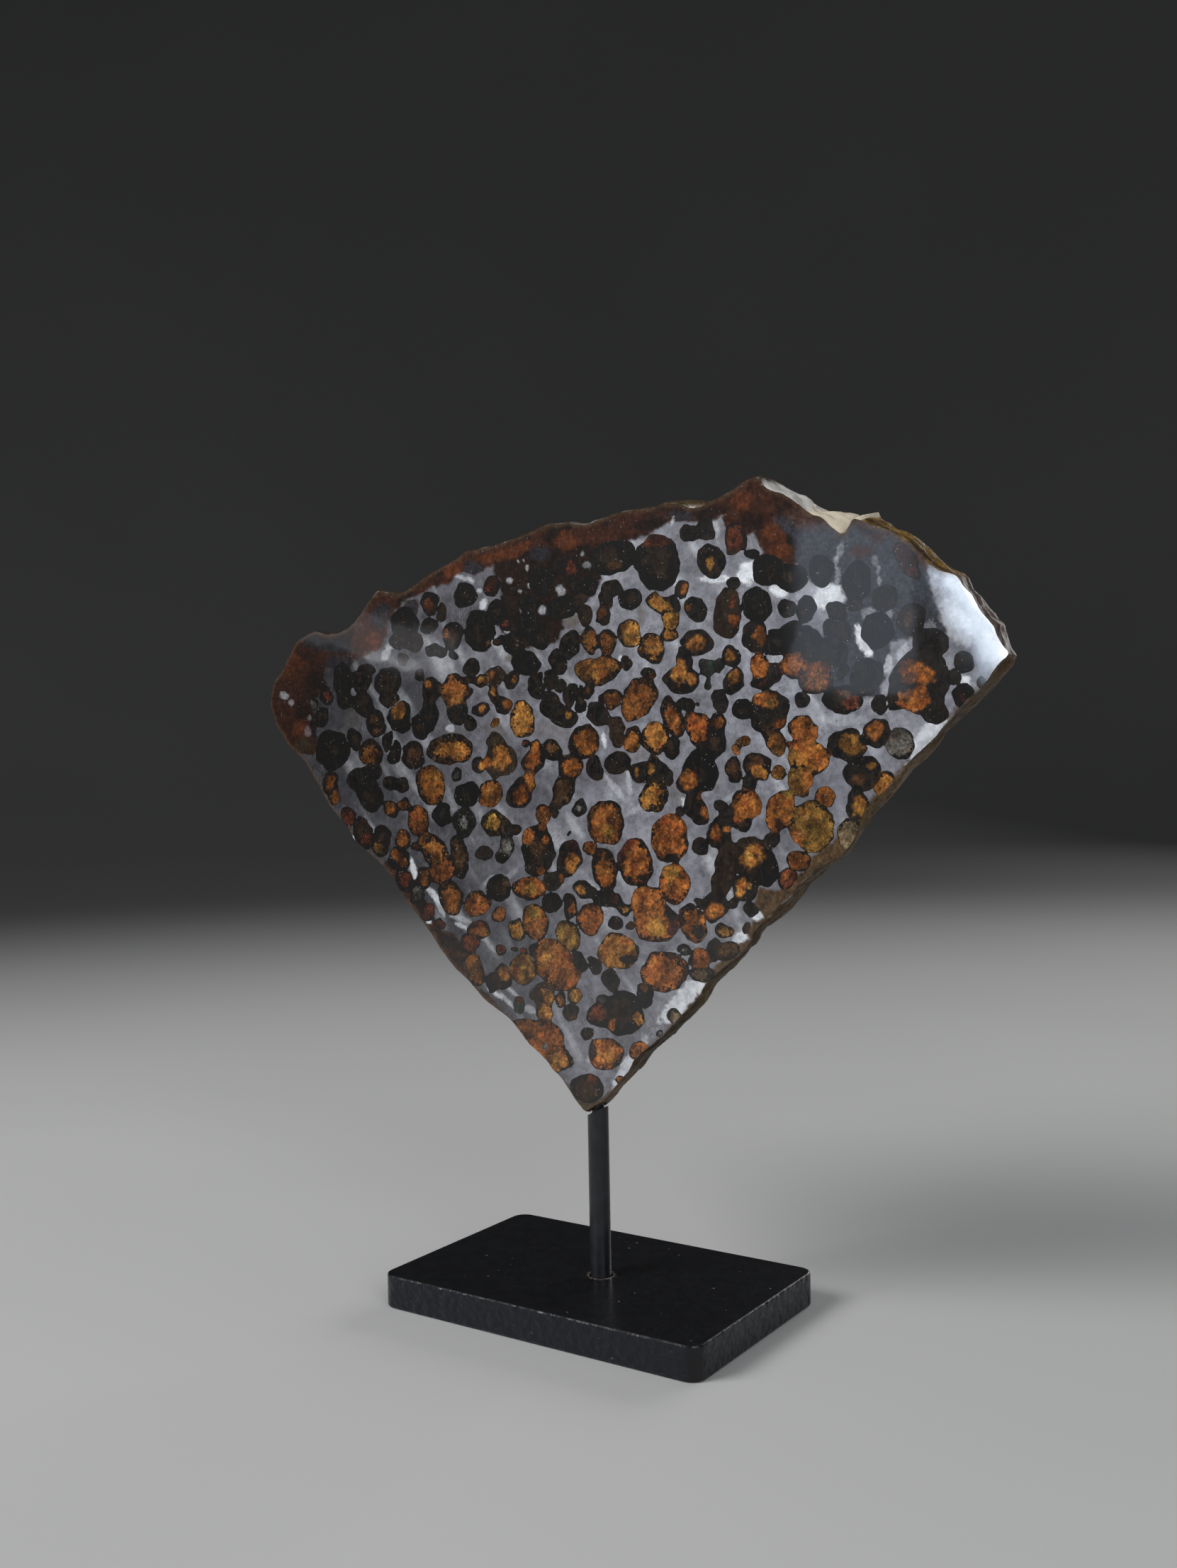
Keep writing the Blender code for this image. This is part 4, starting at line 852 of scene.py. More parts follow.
METAL = (0.180, 0.179, 0.200)
PAINTED_HIGHLIGHT_TONE = (0.78, 0.80, 0.84)
STAIN = (0.135, 0.108, 0.080)
EDGE_TONE = (0.085, 0.050, 0.028)
METALLIC = 0.65
HIGHLIGHT_METALLIC = 0.40
METAL_ROUGHNESS = 0.42
STREAK_AXES = ((0.09, 0.16), (0.87, -0.50))


def metal_values(tone, metallic, rough):
    """The ground's colour, how metallic it is and its roughness, kept within their limits."""
    return np.clip(tone, DARKEST, 0.95), np.clip(metallic, 0.0, 1.0), np.clip(rough, 0.1, 0.9)


def paint_metal(pixels, rim_gap):
    """Colour with painted light, sheen and highlights, how metallic it is and roughness at each point of the
    ground between the crystals.
    """
    places = flat3(pixels)
    tone = filled(METAL, len(pixels)) * lit(pixels, *METAL_LIGHT)[:, None]
    tone *= (1.0 + 0.42 * layers(places, 75.0, 20) + 0.18 * layers(places, 14.0, 21))[:, None]
    # Faint streaks of painted sheen across the metal
    sheen_streak_places = flat3(np.column_stack([pixels @ axis for axis in STREAK_AXES]))
    sheen = bumps(sheen_streak_places, 15.0, 37) + 0.6 * bumps(places, 60.0, 38)
    tone = blend(tone, PAINTED_HIGHLIGHT_TONE, 0.45 * ease(sheen, 0.20, 0.90))
    metallic = np.full(len(pixels), METALLIC)
    rough = METAL_ROUGHNESS + 0.06 * layers(places, 20.0, 22)
    rag = 0.35 * layers(places, 10.0, 24)
    for spot in STAINS:
        share = spot[5] * ellipse_share(pixels, spot, rag, 0.4, 1.3)
        tone = blend(tone, STAIN, share)
        metallic *= 1.0 - 0.5 * share

    fine = 2.5 * bumps(places, 6.0, 26)
    ragged = polygon_distance(pixels, OXIDE) + 6.0 * layers(places, 26.0, 25) + fine
    oxide = 1.0 - ease(ragged, -2.0, 2.5)
    ground = clouded(filled(OXIDE_TONES["rust"], len(pixels)), places,
                     (OXIDE_TONES["dark"], 1.0, 34.0, 27, -0.15, 0.6),
                     (OXIDE_TONES["orange"], 0.55, 22.0, 28, 0.4, 1.0))
    shift = 4.0 * layers(places, 20.0, 36) + fine
    # Near the tip the ground takes the hazy tone, partly a painted reflection of the lacquer's veil
    for loop, name in ((DARK_GROUND, "dark"), (DARK_TIP, "haze_and_painted_veil")):
        dark = 1.0 - ease(polygon_distance(pixels, loop) + shift, -2.0, 3.0)
        ground = blend(ground, OXIDE_TONES[name], 0.85 * dark)
        oxide = np.maximum(oxide, dark)
    rag = 0.38 * layers(places, 16.0, 29)
    for patch in OXIDE_PATCHES:
        share = 0.85 * ellipse_share(pixels, patch, rag, 0.55, 1.25)
        ground = blend(ground, OXIDE_TONES[patch[5]], share)
        oxide = np.maximum(oxide, ease(share, 0.2, 0.5))
    mottle = 0.35 - 0.22 * ease(polygon_distance(pixels, DARK_TIP), 10.0, -10.0)
    light = 0.55 + 0.45 * ease(pixels[:, 0], 430.0, 560.0)
    ground *= (light * (1.0 + mottle * layers(places, 7.0, 30)))[:, None]
    tone = blend(tone, ground, oxide)

    for loop, name, other in EDGE_CRUSTS:
        ragged = polygon_distance(pixels, loop) + 3.0 * layers(places, 18.0, 31) + 1.2 * bumps(places, 5.0, 32)
        share = 1.0 - ease(ragged, -2.0, 2.5)
        crust = filled(OXIDE_TONES[name], len(pixels))
        crust = clouded(crust, places, (OXIDE_TONES[other], 1.0, 15.0, 33, -0.1, 0.6))
        crust *= (1.0 + 0.3 * layers(places, 6.0, 34))[:, None]
        tone = blend(tone, crust, share)
        oxide = np.maximum(oxide, share)

    edge = 1.0 - ease(rim_gap + 0.25 * MM * layers(places, 8.0, 35), 0.15 * MM, 0.95 * MM)
    tone = blend(tone, EDGE_TONE, 0.75 * edge)
    oxide = np.maximum(oxide, 0.8 * edge)
    metallic *= 1.0 - oxide
    # Painted highlights and glints, made less metallic where they lie so that they stay bright
    rag = 0.22 * layers(places, 9.0, 23) + 0.25 * bumps(places, 5.0, 39)
    for spot in PAINTED_HIGHLIGHTS:
        share = spot[5] * ellipse_share(pixels, spot, rag, 0.80, 1.10)
        tone = blend(tone, PAINTED_HIGHLIGHT_TONE, share)
        metallic += (HIGHLIGHT_METALLIC - metallic) * share
    return metal_values(tone, metallic, rough + oxide * 0.16)


# Building the slice's pieces

def corners_of(mesh):
    """The point number of each corner of the mesh's triangles."""
    corners = np.zeros(len(mesh.loops), np.int32)
    mesh.loops.foreach_get("vertex_index", corners)
    return corners


def add_map(mesh, places):
    """The mesh's flat map, from each corner's place on it."""
    layer = mesh.uv_layers.new(name="OFBake")
    layer.data.foreach_set("uv", places.astype(np.float32).ravel())


def make_sheet(name, points, triangles, colours, finish, material):
    """A mesh with its colours and its finish values."""
    mesh = bpy.data.meshes.new(name)
    mesh.from_pydata([], [], [])
    mesh.vertices.add(len(points))
    mesh.vertices.foreach_set("co", points.astype(np.float32).ravel())
    mesh.loops.add(len(triangles) * 3)
    mesh.loops.foreach_set("vertex_index", triangles.astype(np.int32).ravel())
    mesh.polygons.add(len(triangles))
    mesh.polygons.foreach_set("loop_start", np.arange(0, len(triangles) * 3, 3, dtype=np.int32))
    mesh.update(calc_edges=True)
    mesh.validate()
    mesh.shade_smooth()
    full = np.ones((len(points), 4), np.float32)
    for label, values in (("tint", colours), ("finish", finish)):
        full[:, :3] = values
        mesh.attributes.new(label, "FLOAT_COLOR", "POINT").data.foreach_set("color", full.ravel())
    mesh.materials.append(material)
    piece = bpy.data.objects.new(name, mesh)
    bpy.context.scene.collection.objects.link(piece)
    return piece


def nearest(points, loop):
    """The number of the loop's point that is nearest to each flat point, and the distance to it."""
    tree = KDTree(len(loop))
    for number, (x, z) in enumerate(loop):
        tree.insert((x, z, 0.0), number)
    tree.balance()
    found = [tree.find((x, z, 0.0)) for x, z in points]
    return np.array([hit[1] for hit in found], float), np.array([hit[2] for hit in found])


def inside_loop(points, loop):
    """Which of the flat points lie inside the closed loop."""
    inside = np.zeros(len(points), bool)
    for start, end in zip(loop, np.roll(loop, -1, 0)):
        rows = np.nonzero((start[1] > points[:, 1]) != (end[1] > points[:, 1]))[0]
        share = (points[rows, 1] - start[1]) / (end[1] - start[1])
        inside[rows] ^= points[rows, 0] < start[0] + share * (end[0] - start[0])
    return inside


def face_sheet(loop, step, crystals, to_layout):
    """One face of the slice, cut along its outline and its crystals' outlines."""
    points, triangles = lattice(loop, step)
    gap = nearest(points, loop)[1]
    close = gap < 2.0 * step
    gap[close] = abs(polygon_distance(points[close], loop))
    gap[inside_loop(points, loop)] *= -1.0
    points, triangles, inside = cut(points, triangles, gap)
    points, triangles = used_only(points, triangles[inside])
    fixed = np.zeros(len(points), bool)
    fixed[border_loop(triangles, points)] = True
    field = crystal_field(to_layout(points), crystals)[0]
    points, triangles, inside = cut(points, triangles, field, fixed)
    border = points[border_loop(triangles, points)]
    return points, triangles, inside, border


# The back face has crystals of its own in the same metal

BACK_ORIGIN = (900.0, 1700.0)
BACK_CODES = ("K0", "K0+", "K2", "D3", "D0+", "D5", "B5", "R5", "O8", "O7+", "A8", "A7+", "O6", "Y8",
              "B6+", "K0", "D4", "O8+", "K3", "A6")
BACK_PATCH_CODES = "OAYRKDOA"


def back_layout(points):
    """Flat points (x, z) as pixels of the back face's own layout."""
    return np.column_stack([BACK_ORIGIN[0] - points[:, 0] / PIXEL, BACK_ORIGIN[1] - points[:, 1] / PIXEL])


def back_crystals(front_y):
    """The front's crystals as they come out on the other side: shifted, resized and toned anew."""
    rng = np.random.default_rng(11)
    found = []
    for x, y, half_x, half_y, tilt, _ in CRYSTALS:
        here, beside, below = (np.array(on_plane(p, front_y)) for p in ((x, y), (x + 1, y), (x, y + 1)))
        wide = half_x * abs(beside[0] - here[0]) / PIXEL
        tall = half_y * abs(below[1] - here[1]) / PIXEL
        spot = back_layout((here + rng.normal(0.0, 0.7 * MM, 2))[None, :])[0]
        grow = rng.uniform(0.72, 1.12)
        spin = -tilt + rng.uniform(-25.0, 25.0)
        code = BACK_CODES[rng.integers(len(BACK_CODES))]
        if rng.uniform() < 0.93:
            found.append((spot[0], spot[1], wide * grow, tall * grow * rng.uniform(0.85, 1.15), spin, code))
    return tuple(found)


def back_patches(crystals):
    """Stained patches in some of the back's crystals."""
    rng = np.random.default_rng(12)
    found = []
    for number in rng.choice(len(crystals), 70, replace=False):
        x, y, half_x, half_y, tilt, _ = crystals[number]
        shift_x, shift_y = rng.uniform(-0.4, 0.4, 2) * (half_x, half_y)
        size = rng.uniform(0.3, 0.6)
        code = BACK_PATCH_CODES[rng.integers(len(BACK_PATCH_CODES))]
        found.append((x + shift_x, y + shift_y, half_x * size, half_y * size, tilt, code))
    return tuple(found)


def paint_back_metal(pixels, points, rim_gap):
    """The back's ground: the same metal with clouds of painted sheen and stains, with rust from the rim inwards,
    deepest along the top.
    """
    places = flat3(pixels)
    tone = filled(METAL, len(pixels))
    tone *= (1.0 + 0.25 * layers(places, 60.0, 120) + 0.12 * layers(places, 14.0, 121))[:, None]
    tone = clouded(tone, places, (PAINTED_HIGHLIGHT_TONE, 0.7, 45.0, 122, 0.5, 0.9), (STAIN, 0.5, 30.0, 123, 0.45, 0.9))
    height = ease(points[:, 1], 85.0 * MM, 140.0 * MM)
    ragged = rim_gap - (1.2 + 7.5 * height) * MM + 2.2 * MM * height * layers(places, 40.0, 124)
    ragged += 0.6 * MM * layers(places, 14.0, 125)
    oxide = 1.0 - ease(ragged, -0.4 * MM, 0.5 * MM)
    ground = clouded(filled(OXIDE_TONES["rust"], len(pixels)), places,
                     (OXIDE_TONES["dark"], 1.0, 34.0, 127, 0.0, 0.7),
                     (OXIDE_TONES["orange"], 0.8, 24.0, 128, 0.2, 0.8),
                     (OXIDE_TONES["smoke"], 0.8, 50.0, 129, 0.15, 0.7))
    ground *= (1.0 + 0.35 * layers(places, 7.0, 130))[:, None]
    rough = METAL_ROUGHNESS + 0.06 * layers(places, 20.0, 131) + 0.16 * oxide
    return metal_values(blend(tone, ground, oxide), METALLIC * (1.0 - oxide), rough)


def face_pieces(front, back, front_y, back_y, crystal_material, metal_material):
    """The crystals and the metal of the two faces as four sheets. Returns them and the faces' borders."""
    low, high = np.minimum(front.min(0), back.min(0)) - MM, np.maximum(front.max(0), back.max(0)) + MM
    rear = back_crystals(front_y)
    sides = (
        ("front", front, FRONT_STEP, front_y, 1.0, CRYSTALS, PATCHES, lambda flat: to_pixels(flat, front_y)),
        ("back", back, BACK_STEP, back_y, -1.0, rear, back_patches(rear), back_layout),
    )
    pieces, borders = [], []
    for side, loop, step, plane_y, inward, crystals, patches, layout in sides:
        points, triangles, inside, border = face_sheet(loop, step, crystals, layout)
        borders.append(border)
        halves = (("crystals", inside, crystal_material), ("metal", ~inside, metal_material))
        for kind, chosen, material in halves:
            flat, faces = used_only(points, triangles[chosen])
            pixels = layout(flat)
            if kind == "crystals":
                colours, *finish = paint_crystals(pixels, crystals, patches)
                if side == "front":
                    colours *= lit(pixels, *CRYSTAL_LIGHT)[:, None]
            elif side == "front":
                colours, *finish = paint_metal(pixels, nearest(flat, loop)[1])
            else:
                colours, *finish = paint_back_metal(pixels, flat, nearest(flat, loop)[1])
            places = upright(flat, plane_y)
            a, b, c = (places[faces[:, k]] for k in range(3))
            wrong = np.sign(np.cross(b - a, c - a)[:, 1]) == inward
            faces[wrong] = faces[wrong][:, ::-1]
            finish = np.column_stack(finish + [np.zeros(len(flat))] * (3 - len(finish)))
            piece = make_sheet(f"slice_{side}_{kind}", places, faces, colours, finish, material)
            add_map(piece.data, ((flat - low) / (high - low))[corners_of(piece.data)])
            pieces.append(piece)
    return pieces, borders


# The rim: the strips of its map, how far it may step to meet the solid one, how deep its flakes are, and the
# noise in them as strength, squeeze along the thickness and size. Then tones that don't change along it: in
# pits, in a dark line, and a painted glint along the front edge

RIM_STRIPS = 8
RIM_STEP_LIMIT = 2.2 * MM
RIM_FLAKES = 0.17 * MM
RIM_RELIEF = ((1.0, 3.4, 2.4 * MM), (0.6, 2.2, MM), (0.45, 1.0, 0.55 * MM))
PIT_TONE = (0.014, 0.009, 0.007)
LINE_TONE = (0.026, 0.011, 0.008)
EDGE_GLINT_TONE = (0.40, 0.37, 0.34)


def polar(flat, centre):
    """The angle of each flat point round the centre."""
    return np.arctan2(flat[:, 1] - centre[1], flat[:, 0] - centre[0])


def rim_rows(node, front, back, front_y, back_y, centre):
    """Rows of points round the rim, which follow the solid one with finer lumps, ledges and flakes."""
    angle = polar(front, centre)
    back_angle = polar(back, centre)
    order = np.argsort(back_angle)
    back_reach = np.interp(angle, back_angle[order], np.hypot(*(back - centre).T)[order], period=math.tau)
    toward = np.column_stack([np.cos(angle), np.sin(angle)])
    matched = centre + toward * back_reach[:, None]
    solid = node.data
    tree = BVHTree.FromPolygons([v.co for v in solid.vertices], [list(p.vertices) for p in solid.polygons])
    rows = []
    for level in RIM_LEVELS:
        y = front_y + level * (back_y - front_y)
        flat = front + level * (matched - front)
        step = np.zeros(len(flat))
        for i, (way_x, way_z) in enumerate(toward):
            start = Vector((centre[0] + 0.2 * way_x, y, centre[1] + 0.2 * way_z))
            hit = tree.ray_cast(start, Vector((-way_x, 0.0, -way_z)))[0]
            if hit is not None:
                step[i] = math.hypot(hit.x - centre[0], hit.z - centre[1]) - math.dist(flat[i], centre)
        step[abs(step) > RIM_STEP_LIMIT] = 0.0
        places = upright(flat, y)
        relief = sum(strength * bumps(places * (1.0, squeeze, 1.0), size, 50 + k)
                     for k, (strength, squeeze, size) in enumerate(RIM_RELIEF))
        step += math.sqrt(4.0 * level * (1.0 - level)) * RIM_FLAKES * relief
        places[:, [0, 2]] += toward * step[:, None]
        rows.append((places, np.full(len(flat), level), relief))
    return rows


def zip_strip(border, row, along):
    """Triangles from a border's point numbers to a row's, by each border point's place along the row."""
    ends = np.append(along, along[0] + len(row))
    begin = int(round(along[0]))
    marks = np.concatenate([0.5 * (ends[1:] + ends[:-1]), begin + 0.5 + np.arange(len(row))])
    strip = []
    i = j = 0
    for mark in np.argsort(marks, kind="stable"):
        a, b = border[i % len(border)], row[(begin + j) % len(row)]
        if mark < len(border):
            i += 1
            strip.append((a, border[i % len(border)], b))
        else:
            j += 1
            strip.append((a, row[(begin + j) % len(row)], b))
    return np.array(strip)


def places_along(border, row):
    """Each border point's place along the closed row, counted in the row's points and never falling."""
    found, half = nearest(border, row)[0], len(row) / 2
    steps = (np.diff(found) + half) % len(row) - half
    return np.maximum.accumulate(found[0] + np.concatenate([[0.0], np.cumsum(steps)]))


def runs_anticlockwise(loop):
    """True if the closed loop of flat points runs anticlockwise."""
    after = np.roll(loop, -1, 0)
    return (loop[:, 0] * after[:, 1] - after[:, 0] * loop[:, 1]).sum() > 0


def rim_piece(node, front, back, borders, front_y, back_y, material):
    """The whole rim as one wall that ends in the two faces' borders."""
    centre = front.mean(0)
    rows = rim_rows(node, front, back, front_y, back_y, centre)
    width = len(front)
    places, level, relief = [row[0] for row in rows], [row[1] for row in rows], [row[2] for row in rows]
    index = np.arange(len(rows) * width).reshape(len(rows), width)
    beside = np.roll(index, -1, 1)
    strips = [np.stack([index[:-1], beside[:-1], beside[1:]], -1).reshape(-1, 3),
              np.stack([index[:-1], beside[1:], index[1:]], -1).reshape(-1, 3)]
    count, edges = index.size, []
    for border, row, plane_y, own_level in ((borders[0], 0, front_y, 0.0), (borders[1], -1, back_y, 1.0)):
        line = places[row][:, [0, 2]]
        if runs_anticlockwise(border) != runs_anticlockwise(line):
            border = border[::-1]
        numbers = count + np.arange(len(border))
        count += len(border)
        strips.append(zip_strip(numbers, index[row], places_along(border, line)))
        edges.append(upright(border, plane_y))
        level.append(np.full(len(border), own_level))
        relief.append(np.zeros(len(border)))
    points, level, relief = np.concatenate(places + edges), np.concatenate(level), np.concatenate(relief)
    strips = [turned_out(points, strip, centre) for strip in strips]
    colours, finish = paint_rim(points, level, relief, centre, front_y)
    piece = make_sheet("slice_rim", points, np.concatenate(strips), colours, finish, material)
    map_rim(piece.data, points, centre)
    return piece


def turned_out(points, triangles, centre):
    """The strip's triangles, all turned so that most of them face outwards."""
    a, b, c = (points[triangles[:, k]] for k in range(3))
    normal = np.cross(b - a, c - a)
    outwards = ((a[:, [0, 2]] - centre) * normal[:, [0, 2]]).sum()
    return triangles if outwards > 0 else triangles[:, ::-1]


def map_rim(mesh, points, centre):
    """A map of the rim in a few long strips, one above the other."""
    turn = (polar(points[:, [0, 2]], centre) / math.tau + 0.5) * RIM_STRIPS
    corners = corners_of(mesh).reshape(-1, 3)
    local = turn[corners]
    local -= RIM_STRIPS * np.round((local - local[:, :1]) / RIM_STRIPS)
    strip = np.floor(local.min(1))
    local -= strip[:, None]
    across = (points[:, 1] - points[:, 1].min()) / np.ptp(points[:, 1])
    u = 0.01 + 0.93 * local
    v = (strip[:, None] % RIM_STRIPS + 0.06 + 0.88 * across[corners]) / RIM_STRIPS
    add_map(mesh, np.stack([u, v], -1))


def paint_rim(points, level, relief, centre, front_y):
    """The crust's colours by their place along the rim, darker in pits, with a painted glint broken along the
    front edge.
    """
    spots = sorted((math.atan2(z - centre[1], x - centre[0]), RIM_COLOURS[name])
                   for (x, z), name in ((on_plane(pixel, front_y), name) for pixel, name in RIM_TONES))
    at, tones = np.array([spot[0] for spot in spots]), np.array([spot[1] for spot in spots])
    wander = polar(points[:, [0, 2]], centre) + 0.012 * bumps(points, 3.0 * MM, 70)
    tone = np.column_stack([np.interp(wander, at, tones[:, k], period=math.tau) for k in range(3)])
    pale = ease(tone.min(1), 0.15, 0.30)
    gold = ease(tone[:, 1] / tone[:, 2], 2.8, 3.6)
    patchy = layers(points * (1.0, 1.8, 1.0), 2.6 * MM, 71)
    tone *= (1.0 + (1.0 - 0.95 * pale) * 0.42 * patchy)[:, None]
    rust = ease(layers(points, 4.2 * MM, 72), 0.2, 0.8) * (1.0 - pale)
    tone = blend(tone, RIM_COLOURS["rust"], 0.45 * rust)
    pit = ease(-relief, 0.25, 1.1) * (1.0 - 0.9 * pale)
    tone = blend(tone, PIT_TONE, 0.75 * pit)
    crest = ease(relief, 0.35, 1.2) * (1.0 - pale)
    tone *= (1.0 + 0.8 * crest)[:, None]
    away = (level - 0.20 - 0.05 * bumps(points, 5.0 * MM, 73)) / (0.05 + 0.08 * gold)
    line = np.exp(-away ** 2) * (1.0 - pale)
    tone = blend(tone, LINE_TONE, (0.6 + 0.25 * gold) * line)
    broken = ease(bumps(points, 1.6 * MM, 74) + 0.5 * bumps(points, 6.0 * MM, 75), -0.1, 0.5)
    # A painted glint, broken, along the front edge, a little metallic and smoother
    edge_glint = (1.0 - ease(level, 0.01, 0.06)) * broken * (1.0 - pale)
    tone = blend(tone, EDGE_GLINT_TONE, 0.65 * edge_glint)
    finish = np.column_stack([0.4 * edge_glint, 0.52 - 0.15 * pale - 0.15 * edge_glint, pale])
    return np.clip(tone, DARKEST, 0.9), finish


# Finishes, and the colours in them that aren't painted on the meshes

OLIVE_FILTER = (0.26, 0.38, 0.42)
RED_FILTER = (0.92, 0.66, 0.60)
CRYSTAL_BROWN = (0.036, 0.021, 0.011, 1.0)
CRYSTAL_DARK = (0.0060, 0.0052, 0.0045, 1.0)
CRYSTAL_OUTLINE = (0.0050, 0.0046, 0.0042, 1.0)
CRYSTAL_SCRATCH = (0.30, 0.29, 0.28, 1.0)
# Colours of the painted glints in the crystals
GOLD_GLINT = (0.66, 0.42, 0.16, 1.0)
PALE_GLINT = (0.50, 0.47, 0.42, 1.0)
METAL_SCRATCH = (0.75, 0.76, 0.80, 1.0)
METAL_PIT = (0.045, 0.038, 0.034, 1.0)
METAL_SPECK = (0.03, 0.022, 0.016, 1.0)
METAL_DUST = (0.72, 0.72, 0.72, 1.0)
PAINT = ((0.0050, 0.0052, 0.0062, 1.0), (0.0085, 0.0090, 0.0110, 1.0))
PAINT_SIDE = (0.0080, 0.0105, 0.0165, 1.0)
PAINT_WORN = (0.16, 0.155, 0.15, 1.0)
PLATE_DUST = ((0.30, 0.27, 0.25, 1.0), (0.20, 0.19, 0.18, 1.0))
FOOT_RING = (0.22, 0.185, 0.16, 1.0)
FLOOR_TONE = (0.62, 0.62, 0.61)
SKY = (0.62, 0.64, 0.68, 1.0)


class Finish:
    """A material's node tree, with short calls for the nodes that the finishes use."""

    def __init__(self, name):
        self.material = bpy.data.materials.new(name)
        self.material.use_nodes = True
        self.tree = self.material.node_tree
        self.shader = self.tree.nodes["Principled BSDF"]

    def feed(self, socket, value):
        """Link another node's output to the socket, or set a plain value on it."""
        if isinstance(value, bpy.types.NodeSocket):
            self.tree.links.new(value, socket)
        else:
            socket.default_value = value

    def node(self, kind, inputs, **settings):
        node = self.tree.nodes.new(kind)
        for key, value in settings.items():
            setattr(node, key, value)
        for key, value in inputs.items():
            self.feed(node.inputs[key], value)
        return node

    def millimetres(self, stretch=(1.0, 1.0, 1.0), turn=0.0):
        """The place on the object in millimetres, turned about the slice's thickness and then stretched."""
        place = self.node("ShaderNodeTexCoord", {}).outputs["Object"]
        place = self.node("ShaderNodeMapping", {"Vector": place, "Rotation": (0.0, turn, 0.0)}).outputs[0]
        scale = tuple(s / MM for s in stretch)
        return self.node("ShaderNodeMapping", {"Vector": place, "Scale": scale}).outputs[0]

    def noise(self, place, scale, detail=2.0, roughness=0.5):
        inputs = {"Vector": place, "Scale": scale, "Detail": detail, "Roughness": roughness}
        return self.node("ShaderNodeTexNoise", inputs).outputs[0]

    def cells(self, place, scale, output):
        return self.node("ShaderNodeTexVoronoi", {"Vector": place, "Scale": scale}).outputs[output]

    def math(self, operation, *values):
        return self.node("ShaderNodeMath", dict(enumerate(values)), operation=operation).outputs[0]

    def times(self, first, *others):
        """All the numbers multiplied."""
        for other in others:
            first = self.math("MULTIPLY", first, other)
        return first

    def ramp(self, value, low, high, start=0.0, end=1.0):
        """Start below low, end above high, and a soft step between."""
        inputs = {"Value": value, 1: low, 2: high, 3: start, 4: end}
        return self.node("ShaderNodeMapRange", inputs, interpolation_type="SMOOTHSTEP").outputs[0]

    def mix(self, share, base, other):
        return self.node("ShaderNodeMix", {0: share, 6: base, 7: other}, data_type="RGBA").outputs[2]

    def tinted(self, colour, factor):
        """The colour times a number."""
        return self.node("ShaderNodeVectorMath", {0: colour, "Scale": factor}, operation="SCALE").outputs[0]

    def filtered(self, colour, other):
        """The colour times another one."""
        return self.node("ShaderNodeVectorMath", {0: colour, 1: other}, operation="MULTIPLY").outputs[0]

    def attribute(self, name):
        return self.node("ShaderNodeAttribute", {}, attribute_name=name).outputs["Color"]

    def parts(self, colour):
        return self.node("ShaderNodeSeparateColor", {"Color": colour}).outputs

    def bump(self, height, strength, distance, under=None):
        inputs = {"Height": height, "Strength": strength, "Distance": distance}
        if under is not None:
            inputs["Normal"] = under
        return self.node("ShaderNodeBump", inputs).outputs[0]

    def specks(self, colour, place, scale, size, rarity, speck, strength):
        """Small round specks of another colour, of mixed sizes up to this share of the cells' own widths."""
        own = self.parts(self.cells(place, scale, "Color"))
        away = self.math("DIVIDE", self.cells(place, scale, "Distance"), self.ramp(own[1], 0.0, 1.0, 0.35, 1.1))
        dot = self.ramp(away, 0.6 * size, size, 1.0, 0.0)
        kept = self.ramp(own[0], rarity, rarity + 0.01)
        return self.mix(self.times(dot, kept, strength), colour, speck)

    def lacquer(self, place):
        """Clear glossy lacquer with faint waves."""
        self.set(Coat_Weight=1.0, Coat_Roughness=0.045)
        self.set(Coat_Normal=self.bump(self.noise(place, 0.16, 1.0), 0.07, 0.25 * MM))

    def set(self, **values):
        """Set the surface's inputs, each named with _ for a space."""
        for key, value in values.items():
            self.feed(self.shader.inputs[key.replace("_", " ")], value)


